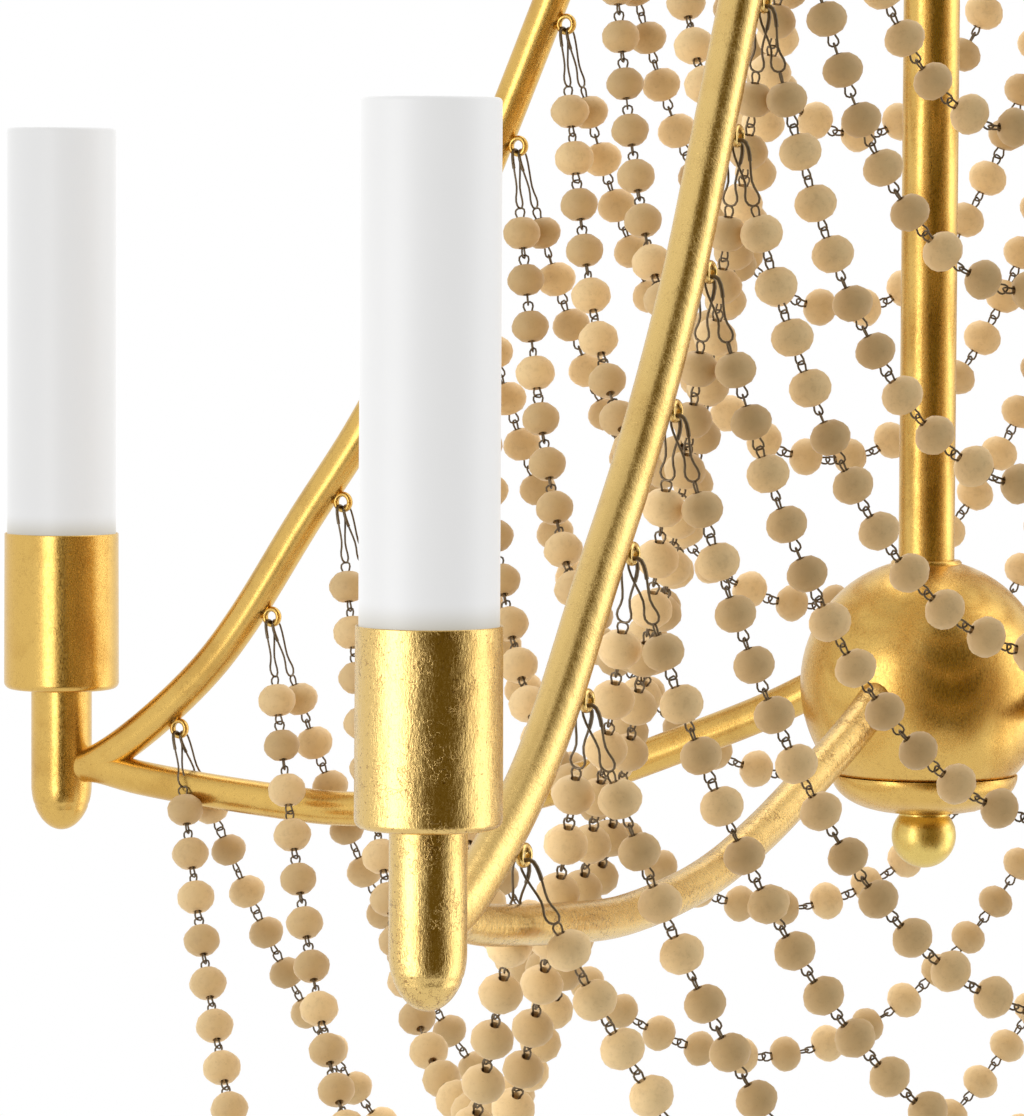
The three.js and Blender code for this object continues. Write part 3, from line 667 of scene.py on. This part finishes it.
def tube(name, points, radius, sides, finish, edges=None):
    path = path_mesh(name + " path", points, edges)
    return run_tree(name, path, tube_tree, radius=radius * MM, sides=sides, finish=finish)


# %% [markdown]
# The stem under each lamp is a turned gilded bar with a rounded nose. A fine line runs round
# the nose where two sheets of leaf meet, and a threaded nipple on top holds the cup. Rib,
# lower arm, stem and eyelets are welded on the real frame, so each arm is one joined mesh.

# %% Stem and arms
stem_length = 60.5
stem_top = rim - cup_height - seat_gap
stem_foot = stem_top - stem_length
stem_radius = 13.0
nose_length = 19.5
leaf_seam_at, leaf_seam_depth = 17, 0.22
nipple_radius, nipple_top = 4.8, stem_top + 14
stem_profile = arc(0, stem_foot + nose_length, stem_radius, -90, 0, 24, nose_length)
seam_radius, seam_height = stem_profile[leaf_seam_at]
stem_profile[leaf_seam_at] = (seam_radius - leaf_seam_depth, seam_height)
stem_profile += [
    (stem_radius, stem_top - 0.5), (stem_radius - 0.4, stem_top), (nipple_radius, stem_top),
    (nipple_radius, nipple_top), (0, nipple_top),
]
ring = add_object("eyelet pattern", eyelet_ring)
for side, quarter in arm_turns.items():
    finish, rib_finish = satin_leaf, satin_leaf
    if side == "front":
        finish, rib_finish = crisp_leaf, fine_leaf
    places = path_mesh("eyelet places", eyelets[side])
    whole = join_meshes(f"{side} arm", [
        tube("rib", rib_line, rib_radius[side], 32, rib_finish),
        tube("lower arm", arm_path, tube_radius, 32, finish),
        turned(revolve("stem", stem_profile, finish, 48, 30), 0, reach),
        run_tree("eyelets", places, row_tree, piece=ring, finish=rib_finish),
    ])
    whole = turned(whole, quarter)
    make_piece(f"gilded_{side}_arm", whole, "fixture", f"{side}_arm")
bpy.data.objects.remove(ring)
print("stem", round(stem_foot, 1), "to", round(nipple_top, 1))

# %% [markdown]
# ## The lamps
# A lamp is a gilded cup with an opal glass tube standing in it. The cup is spun from thin
# sheet, so it has a thin rim and a small round at its foot, where it is a little wider. Inside
# are a socket and a bulb, which show from above. All four are turned, so each is a profile.

# %% Profiles of cup and glass tube
cup_foot = rim - cup_height
cup_wall = 0.8
cup_bore = 5.2
foot_round = 3
foot_centre = 21.6
cup_profile = [
    (cup_bore, cup_foot), *arc(foot_centre, cup_foot + foot_round, foot_round, -90, 0, 8),
    (24.4, rim + 0.6), (24.1, rim + 0.9), (23.7, rim + 0.6),
    *arc(foot_centre, cup_foot + foot_round, foot_round - cup_wall, 0, -90, 8),
    (cup_bore, cup_foot + cup_wall),
]
glass_foot = cup_foot + 3.3
glass_top = rim + 174
glass_radius = 23.3
glass_wall = 3.0
half_wall = glass_wall / 2
glass_profile = [
    (20.8, glass_foot), (22.8, glass_foot), (glass_radius, glass_foot + 0.5),
    *arc(glass_radius - half_wall, glass_top - half_wall, half_wall, 0, 180, 10),
    (glass_radius - glass_wall, glass_foot + 0.5),
]
print("glass", round(glass_foot, 1), "to", round(glass_top, 1))

# %% Profiles of socket and bulb
socket_foot = cup_foot + cup_wall + seat_gap
socket_top = socket_foot + 48
socket_bore_foot = socket_top - 22
socket_profile = raised(socket_foot, [
    (5.1, 0), (11, 0), (11, 17), (13, 20.5), (13.5, 22), (13.5, 47), (12.5, 48), (7.6, 48),
    (7, 47.4), (7, 26), (5.1, 26),
])
bulb_foot = socket_bore_foot + seat_gap
bulb_top = bulb_foot + 92
bulb_radius = 16
thread_turns, thread_step = 15, 1.35
candle_shares = [
    (0.16, 0.72), (0.26, 0.9), (0.36, 1), (0.46, 0.98), (0.56, 0.88), (0.66, 0.72),
    (0.76, 0.54), (0.85, 0.37), (0.93, 0.22), (0.98, 0.11), (1, 0),
]
bulb_profile = [(0, bulb_foot), (5.4, bulb_foot + 0.6)]
for i in range(thread_turns):
    bulb_profile.append((6.2 if i % 2 else 5.8, bulb_foot + 2 + thread_step * i))
bulb_profile += [(6.2, socket_top + 0.2), (8, socket_top + 0.6), (9, socket_top + 5)]
for height_share, radius_share in candle_shares:
    height = socket_top + (bulb_top - socket_top) * height_share
    bulb_profile.append((bulb_radius * radius_share, height))
print("bulb", round(bulb_foot, 1), "to", round(bulb_top, 1))

# %% The four lamps
lamp_parts = (
    ("cup", cup_profile, None, "fixture", "gold_leaf"),
    ("glass_tube", glass_profile, opal, "glass", "opal_glass"),
    ("socket", socket_profile, porcelain, "fixture", "porcelain"),
    ("bulb", bulb_profile, frosted, "lamp", "bulb_glass"),
)
for side, quarter in arm_turns.items():
    for part, profile, finish, body, slot_name in lamp_parts:
        finish = finish or (crisp_leaf if side == "front" else satin_leaf)
        mesh = turned(revolve(part, profile, finish, 96), quarter, reach)
        rider = "fixture" if body == "fixture" else f"{side}_{body}"
        make_piece(f"lamp_{side}_{part}", mesh, rider, f"{side}_{part}")
print("lamp pieces", len(arm_turns) * len(lamp_parts))

# %% [markdown]
# ## The middle
# The rod is a plain gilded tube. The ball on it is spun in one piece over a former, open
# below, where a shallow cap closes it with a dark line at the joint, and a polished finial
# screws up into the rod and holds both. The ball is a little deeper below its middle than
# above, so its skin is two half ovals, and not a sphere.

# %% Profiles of ball and cap
ball_level = rim - ball_drop
ball_depth = 52.0
ball_wall = 1.8
seam_drop = 35.6
cap_rim = ball_level - seam_drop - seat_gap
cap_foot = cap_rim - 15
finial_top = cap_foot - seat_gap
collar_radius = 14


def ball_skin(inset, start, steps):
    """Ball's skin from its mouth up to the collar, moved in by the inset."""
    mouth = -math.asin(seam_drop / (ball_depth - inset))
    points = []
    for i in range(steps + 1):
        angle = mouth + (start - mouth) * i / steps
        depth = (ball_depth if angle < 0 else ball_radius) - inset
        radius = (ball_radius - inset) * math.cos(angle)
        points.append((radius, ball_level + depth * math.sin(angle)))
    return points


outer = ball_skin(0, math.acos(collar_radius / ball_radius), 40)
inner = ball_skin(ball_wall, math.acos(11.4 / (ball_radius - ball_wall)), 24)
collar = outer[-1][1]
ball_profile = [
    *outer, (13.9, collar + 0.7), (13.2, collar + 1.5), (12, collar + 1.6), (11.4, collar + 1.2),
    *inner[::-1],
]
cap_lip = outer[0][0] + 0.8
cap_flat = 11
cap_profile = [
    (3.5, cap_foot), *arc(cap_flat, cap_rim - 0.5, cap_lip - cap_flat, -90, 0, 24, 14.5),
    (cap_lip - 0.1, cap_rim - 0.1), (cap_lip - 0.5, cap_rim), (cap_lip - 1.6, cap_rim),
    *arc(cap_flat, cap_rim - 0.5, cap_lip - 1.6 - cap_flat, 0, -90, 12, 12.9),
    (3.5, cap_foot + 1.6),
]
print("ball mouth radius", round(outer[0][0], 1), "collar at", round(collar, 1))

# %% Profiles of rod and finial, and the four pieces
hub_half = 12
collar_rise = 26
collar_height = 14
collar_bore_depth = 9
stud_top = cap_foot + 44
rod_radius, rod_bore, stud_radius = 11, 9.5, 3
rod_foot = stud_top - 14
rod_top = hub_level + hub_half + collar_rise + collar_bore_depth - seat_gap
rod_profile = [
    (3.4, rod_foot), (10.6, rod_foot), (rod_radius, rod_foot + 0.4), (rod_radius, rod_top),
    (rod_bore, rod_top), (rod_bore, rod_foot + 14), (3.4, rod_foot + 14),
]
finial_radius = 12.7
finial_profile = [
    (0, finial_top - 9.2 - finial_radius),
    *arc(0, finial_top - 9.2, finial_radius, -90, 38, 30)[1:],
    (9.75, finial_top - 0.9), (9.8, finial_top - 0.3), (9.6, finial_top),
    (stud_radius, finial_top), (stud_radius, stud_top), (0, stud_top),
]
for name, profile, finish, slot_name in (
    ("centre_rod", rod_profile, satin_leaf, "gold_leaf"),
    ("ball_shell", ball_profile, satin_leaf, "gold_leaf"),
    ("ball_cap", cap_profile, satin_leaf, "gold_leaf"),
    ("finial", finial_profile, bright_leaf, "bright_gold"),
):
    mesh = revolve(name, profile, finish, 96)
    make_piece(f"gilded_{name}", mesh, "fixture", name)
print("rod", round(rod_foot, 1), "to", round(rod_top, 1))

# %% [markdown]
# ## Hub, link and canopy
# These lie above the picture and follow the usual ones: a turned hub with a soft band, a
# closed ring on a collar, one oval link, and a spun canopy that covers its bracket. Turned
# pieces are profiles again, and rings and link are the tube tree run on a closed path.

# %% Hub
hub_profile = raised(hub_level, [
    (11.5, -22), (22, -22), (24, -21), (34, -16.6), (43, -12.6), (45.2, -11.4),
    (hub_radius, -9.6), (hub_radius, 9.6), (45.2, 11.3), (43.5, hub_half), (11.5, hub_half),
])
hub = revolve("top hub", hub_profile, satin_leaf, 96)
make_piece("gilded_top_hub", hub, "fixture", "top_hub")
print("hub at", round(hub_level, 1))

# %% Top loop and hanging link
link_length = 42
link_radius = 7.5
link_wire = 2.2
ring_radius = 12
ring_wire = 2.5
ring_in_collar = 1.5
seat_drop = link_wire + ring_wire + seat_gap
canopy_wire = -64.8
link_top = canopy_wire + seat_drop
link_bottom = link_top - link_length
ring_centre = link_bottom + seat_drop - ring_radius


def closed_wire(name, centre, radius=ring_radius, thickness=ring_wire, steps=48, half_run=0):
    """A ring square to Y, or a link square to X with its two straight runs."""
    points = []
    for i in range(steps):
        angle = 2 * math.pi * i / steps
        lift = max(-half_run, min(half_run, 2 * half_run * math.sin(angle)))
        across, height = radius * math.cos(angle), centre + radius * math.sin(angle) + lift
        points.append((0, across, height) if half_run else (across, 0, height))
    edges = [(i, (i + 1) % steps) for i in range(steps)]
    return tube(name, points, thickness, 20, satin_leaf, edges)


collar_foot = ring_centre - ring_radius + ring_in_collar - collar_height
top_collar = revolve("top collar", raised(collar_foot, [
    (11.35, 0), (13.4, 0), (14, 0.6), (14, 8.4), (13.2, 9.6), (8, 13.1), (5, collar_height),
    (0, collar_height), (0, collar_bore_depth), (11.35, collar_bore_depth),
]), satin_leaf)
top_loop = join_meshes("top loop", [top_collar, closed_wire("top ring", ring_centre)])
make_piece("gilded_top_loop", top_loop, "fixture", "top_loop")
link_middle = (link_top + link_bottom) / 2
half_run = link_length / 2 - link_radius
hanging = closed_wire("hanging link", link_middle, link_radius, link_wire, 64, half_run)
make_piece("gilded_hanging_link", hanging, "link", "hanging_link")
print("link", round(link_bottom, 1), "to", round(link_top, 1), "ring at", round(ring_centre, 1))

# %% Canopy, its loop and the bracket
canopy_flat = 16
canopy_shoulder = -5
canopy_bore = 5.2
canopy_profile = [
    (62, 0), *arc(canopy_flat, canopy_shoulder, 46, 0, -90, 32, 23.5), (canopy_bore, -28.5),
    (canopy_bore, -30), *arc(canopy_flat, canopy_shoulder, 47.5, -90, 0, 32, 25), (63.5, 0),
]
canopy = revolve("canopy", canopy_profile, satin_leaf, 128)
make_piece("gilded_canopy", canopy, "ceiling_mount", "canopy")
loop_top = -30 - seat_gap
loop_collar = revolve("loop collar", raised(loop_top, [
    (0, -8), (0, -12), (6.6, -12), (7.6, -11.2), (15.2, -5.4), (16, -4.6), (16, -0.6), (15.4, 0),
    (5.15, 0), (5.15, -8),
]), satin_leaf)
canopy_ring = closed_wire("canopy ring", canopy_wire + ring_radius)
canopy_loop = join_meshes("canopy loop", [loop_collar, canopy_ring])
make_piece("gilded_canopy_loop", canopy_loop, "ceiling_mount", "canopy_loop")
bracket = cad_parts["mounting_bracket"]
bracket.data.materials.clear()
bracket.data.materials.append(zinc)
print("canopy and loop hang on", bracket.name)

# %% [markdown]
# ## The beads
# A bead is a slightly flattened ball of wood with a hole along its axis. There are hundreds of
# them, so a bead has few faces, and smooth shading rounds them. A wire runs through it and
# ends in an eye on each side, and the eyes of two beads link at right angles. A pear-shaped
# clip of two wires joins each end of a swag to its eyelet, with a thicker clasp on one side.

# %% Bead, eyes and clip
bead_pitch = 19.8
clip_length = 25.2
half_bead = [(8, 1.2), (7, 3.45), (4.8, 5.7), (1.9, 6.6)]
bead_mesh = revolve("bead", [*((r, -z) for r, z in half_bead[::-1]), *half_bead], wood, 12, 60)
half_eye = [(1.1, 4.8), (1.4, 6.8), (1.95, 8.5), (1.8, 9.7), (0.9, 10.4)]
eye_shape = half_eye + [(-x, z) for x, z in half_eye[::-1]]
clip_side = [
    (0, 0), (1.6, 0.2), (2.7, 1.4), (3.05, 3.4), (2.95, 6), (2.4, 9.5), (1.7, 13), (1.4, 15.8),
    (1.8, 18.2), (2.65, 20.6), (2.8, 22.3), (2.1, 23.8), (0.9, 24.5), (0, 24.6),
]
clasp_side = [(-1.5, 0.3), (0, 0.1), (1.6, 0.4), (2.7, 1.6), (3.05, 3.6), (2.95, 6), (2.6, 8.4)]


def clip_wire(shape, radius, way=1):
    points = [(way * x, 0, z - clip_length / 2) for x, z in shape]
    return tube("clip", points, radius, 6, wire)


eyes_mesh = join_meshes("eyes", [
    tube("eyes", points, 0.42, 5, wire)
    for points in ([(x, 0, z) for x, z in eye_shape], [(0, x, -z) for x, z in eye_shape])
])
clip_mesh = join_meshes("clip", [
    clip_wire(clip_side, 0.46), clip_wire(clip_side, 0.46, -1), clip_wire(clasp_side, 0.76),
])
meshes = {"bead": bead_mesh, "eyes": eyes_mesh, "clip": clip_mesh}
patterns = {part: add_object(part + " pattern", mesh) for part, mesh in meshes.items()}
print("bead faces", len(bead_mesh.polygons), "eyes faces", len(eyes_mesh.polygons))

# %% [markdown]
# A chain that hangs free takes the shape of a catenary. How deep it hangs depends only on how
# much longer it is than the gap that it spans, so the script solves that for each swag from
# its number of beads, listed from the lowest tier up, and steps along the curve with a corner
# where two eyes meet. A physics run would find the same curve slowly. The two clips that share
# an eyelet lie low in its bore, each on its own bay's side, one a little further out.

# %% Path of a swag
bead_counts = {
    "front_right": [32, 32, 29, 27, 24, 22, 20, 17, 15],
    "front_left": [33, 31, 29, 27, 24, 23, 20, 19, 15],
    "back_left": [36, 34, 30, 27, 25, 22, 20, 18, 15],
    "back_right": [33, 31, 29, 27, 24, 23, 20, 19, 15],
}
hook_drop = 1.5
hook_inset = 0.9
hook_shift = 0.8


def slackness(slack):
    """The k for which sinh(k) / k is the slack, by halving the range it lies in."""
    low, high = 1e-3, 12
    for _ in range(60):
        middle = (low + high) / 2
        if math.sinh(middle) / middle < slack:
            low = middle
        else:
            high = middle
    return low


def swag_corners(tier, side, next_side, beads):
    """Places where the eyes meet, from one arm's eyelet to the next arm's, on the X and Y axes."""
    here, there = eyelets[side][tier], eyelets[next_side][tier]
    level = here.z - hook_drop
    start = Vector((here.x + hook_shift, here.y + hook_inset, level))
    end = Vector((hook_inset - there.y, there.x - hook_shift, level))
    along = (end - start).normalized()
    gap = (end - start).length
    length = beads * bead_pitch + 2 * clip_length
    k = slackness(length / gap)
    bend = gap / (2 * k)

    def at(distance):
        run_here = bend * math.asinh((distance - length / 2) / bend)
        point = start + along * (gap / 2 + run_here)
        point.z = level - bend * math.cosh(k) + bend * math.cosh(run_here / bend)
        return point

    corners = [start] + [at(clip_length + bead_pitch * i) for i in range(beads + 1)] + [end]
    edges = [(i, i + 1) for i in range(beads + 1)] + [(beads + 2, beads + 1)]
    return corners, edges


print("beads in each bay", {bay: sum(counts) for bay, counts in bead_counts.items()})

# %% [markdown]
# The swags of the seven lower tiers swing on their own eyelets, so each is a piece of its own
# that rides on its own body. The two small top tiers are garlands that stay with the frame.
# Each swag has its own seed, so no two repeat the same tones and rolls.

# %% All the swags
swinging_tiers = 7
finishes = {"bead_finish": wood, "wire_finish": wire}
total = 0


def hang_swag(name, tier, side, quarter):
    next_side = next(s for s, q in arm_turns.items() if q == (quarter + 1) % 4)
    beads = bead_counts[bay_after[side]][tier]
    path = path_mesh(name + " path", *swag_corners(tier, side, next_side, beads))
    mesh = run_tree(name, path, swag_tree, seed=10 * tier + quarter, **finishes, **patterns)
    return turned(mesh, quarter), beads


for side, quarter in arm_turns.items():
    for tier in range(swinging_tiers):
        place = f"{bay_after[side]}_{tier + 1}"
        swag, beads = hang_swag(f"strand_{place}", tier, side, quarter)
        make_piece(f"beads_{place}", swag, f"swag_{place}", f"strand_{place}")
        total += beads
for tier in range(swinging_tiers, tiers):
    name = f"garland_{tier + 1}"
    swags = []
    for side, quarter in arm_turns.items():
        swag, beads = hang_swag(name, tier, side, quarter)
        swags.append(swag)
        total += beads
    make_piece(f"beads_{name}", join_meshes(name, swags), "fixture", name)
for pattern in patterns.values():
    bpy.data.objects.remove(pattern)
print("beads in all", total)

# %% [markdown]
# ## Light, backdrop and camera
# The studio is a white tent with one dim opening towards the camera. The tent's wall is lit
# most strongly on both sides, so each gilded tube shows a hot streak, a dark one where it
# mirrors the opening, and another bright one. The wall's brightness is set by the direction
# round the object, and the opening narrows towards top and bottom. Matte surfaces are lit by
# a plainer wall, brighter behind the object, and the camera itself sees plain white.

# %% The tent's wall and its opening
world = bpy.data.worlds.new("studio")
scene.world = world
world.use_nodes = True
sky = world.node_tree
sky.nodes.clear()
to_camera = Vector((0.471, -0.882, 0))
to_right = Vector((0.882, 0.471, 0))
opening_middle, opening_half = math.radians(22), math.radians(39)
opening_height = 0.98
wall_gain = 3.7
wall_levels = [
    (0, 0.27), (66, 0.27), (74, 0.36), (85, 0.73), (103, 0.73), (116, 0.42), (132, 0.3),
    (180, 0.28),
]


def along(way, label):
    """How far the direction looked in goes that way, from -1 to 1."""
    values = {0: heading, 1: way}
    made = node(sky, "ShaderNodeVectorMath", label, values, operation="DOT_PRODUCT")
    return made.outputs["Value"]


def sky_math(operation, first, second=0):
    return arithmetic(sky, operation, first, second)


heading = node(sky, "ShaderNodeTexCoord").outputs["Generated"]
turn_round = sky_math("ARCTAN2", along(to_right, "to the right"), along(to_camera, "to camera"))
share_round = sky_math("ADD", sky_math("DIVIDE", turn_round, 2 * math.pi), 0.5)
wall = node(sky, "ShaderNodeValToRGB", "brightness round the tent", {"Fac": share_round})
stops = wall.color_ramp.elements
while len(stops) < len(wall_levels):
    stops.new(0.5)
for stop, (degrees, level) in zip(stops, wall_levels):
    stop.position = degrees / 360 + 0.5
    stop.color = (level, level, level * 0.98, 1)
steepness = sky_math("ABSOLUTE", along((0, 0, 1), "up or down"))
closing = ramp(sky, steepness, 0.7, 0.97, "dimmer overhead")
tent = blend_colour(sky, closing, wall.outputs["Color"], (0.2, 0.195, 0.18, 1), "tent")
flat_share = sky_math("POWER", sky_math("DIVIDE", steepness, opening_height), 2)
round_share = sky_math("MAXIMUM", sky_math("SUBTRACT", 1.0, flat_share), 0.0001)
half_width = sky_math("MULTIPLY", sky_math("SQRT", round_share), opening_half)
off_middle = sky_math("ABSOLUTE", sky_math("SUBTRACT", turn_round, opening_middle))
outside = ramp(sky, sky_math("DIVIDE", off_middle, half_width), 0.78, 1.25, "outside the opening")
tent = blend_colour(sky, outside, (0.04, 0.028, 0.005, 1), tent, "tent with its opening")
print("tent", len(sky.nodes), "nodes")


# %% What each kind of ray sees
def seen_rays(tree):
    """One for the rays that should meet the white backdrop: from the camera, metal or glass."""
    rays = node(tree, "ShaderNodeLightPath").outputs
    in_metal = arithmetic(tree, "MAXIMUM", rays["Is Glossy Ray"], rays["Is Transmission Ray"])
    return rays["Is Camera Ray"], arithmetic(tree, "MAXIMUM", rays["Is Camera Ray"], in_metal)


def light_of(colour, label):
    return node(sky, "ShaderNodeBackground", label, {"Color": colour}).outputs[0]


from_camera, seen = seen_rays(sky)
mirrored = node(sky, "ShaderNodeVectorMath", "plain wall is white", {
    0: tent, "Scale": wall_gain,
}, operation="SCALE").outputs[0]
behind = ramp(sky, sky_math("ABSOLUTE", turn_round), 0.7, 2.2, "towards the back")
soft_wall = blend_colour(sky, behind, (0.36, 0.355, 0.34, 1), (1.6, 1.6, 1.58, 1), "soft wall")
backdrop = blend_colour(sky, from_camera, mirrored, (1, 1, 1, 1), "no opening for the camera")
sky_light = node(sky, "ShaderNodeMixShader", "", {
    0: seen, 1: light_of(soft_wall, "light of the tent"), 2: light_of(backdrop, "backdrop"),
}).outputs[0]
node(sky, "ShaderNodeOutputWorld", "", {"Surface": sky_light})
print("world", len(sky.nodes), "nodes")

# %% [markdown]
# Two area lamps add what an even tent lacks: a tall softbox beside the front lamp gives the
# left sides of the tubes their streak, and a wide one high behind gives soft light from above.


# %% Soft lights
def soft_light(name, place, aim, width, height, energy):
    data = bpy.data.lights.new(name, "AREA")
    data.shape = "RECTANGLE"
    data.size = width
    data.size_y = height
    data.energy = energy
    lamp = add_object(name, data)
    lamp.location = Vector(place) * MM
    lamp.rotation_euler = ((Vector(aim) - Vector(place)) * MM).to_track_quat("-Z", "Y").to_euler()
    lamp.visible_camera = False
    print(name, energy, "watts")


soft_light("tall softbox on the left", (-255, -900, rim), (-60, -400, rim), 0.38, 0.85, 2.9)
soft_light("top softbox", (-500, 900, 1500), (0, 0, rim), 1.6, 1.6, 12)

# %% [markdown]
# The floor is far below and as pale as the wall. Where the camera sees it, it shows as white
# with a faint shadow, and elsewhere it only sends soft light up.

# %% Floor
floor_half, floor_level = 2, -2.4
floor_corners = [(-1, -1), (1, -1), (1, 1), (-1, 1)]
floor_mesh = bpy.data.meshes.new("floor")
floor_mesh.from_pydata(
    [(x * floor_half, y * floor_half, floor_level) for x, y in floor_corners], [], [(0, 1, 2, 3)]
)
floor = add_object("floor", floor_mesh)
paint = bpy.data.materials.new("pale floor")
paint.use_nodes = True
floor_tree = paint.node_tree
floor_tree.nodes.clear()
matte = node(floor_tree, "ShaderNodeBsdfDiffuse", "", {"Color": (0.8, 0.8, 0.8, 1)}).outputs[0]
glow = node(floor_tree, "ShaderNodeEmission", "", {"Strength": 1.03}).outputs[0]
glowing = arithmetic(floor_tree, "MULTIPLY", seen_rays(floor_tree)[1], 0.9)
mixed = node(floor_tree, "ShaderNodeMixShader", "", {0: glowing, 1: matte, 2: glow}).outputs[0]
node(floor_tree, "ShaderNodeOutputMaterial", "", {"Surface": mixed})
floor_mesh.materials.append(paint)
print("floor at", floor_level, "m")

# %% [markdown]
# The camera was fitted to the photograph: its place, its focal length in pixels, and three
# small turns. Its right, up and back make its frame.

# %% Camera
image_height = 1116
sensor = 36
camera_place = Vector((867.25, -1970.39, rim + 128.47)) * MM
view_angle = math.radians(24.154)
focal_px, yaw, pitch, roll = 5459.0, -0.06895, 0.05873, 0.00518
turn = Matrix.Rotation(view_angle, 3, "Z")
right = turn @ Vector((math.cos(yaw), -math.sin(yaw), 0))
level_share = math.cos(pitch)
ahead = turn @ Vector((level_share * math.sin(yaw), level_share * math.cos(yaw), -math.sin(pitch)))
up = right.cross(ahead)
tilted_right = right * math.cos(roll) + up * math.sin(roll)
tilted_up = up * math.cos(roll) - right * math.sin(roll)
camera_data = bpy.data.cameras.new("camera")
camera_data.sensor_width = sensor
camera_data.lens = focal_px * sensor / image_height
camera_data.clip_end = 50
camera = add_object("camera", camera_data)
axes = Matrix((tilted_right, tilted_up, -ahead)).transposed()
camera.matrix_world = Matrix.Translation(camera_place) @ axes.to_4x4()
scene.camera = camera
scene.view_settings.view_transform = "Standard"
print("lens", round(camera_data.lens, 1), "mm")
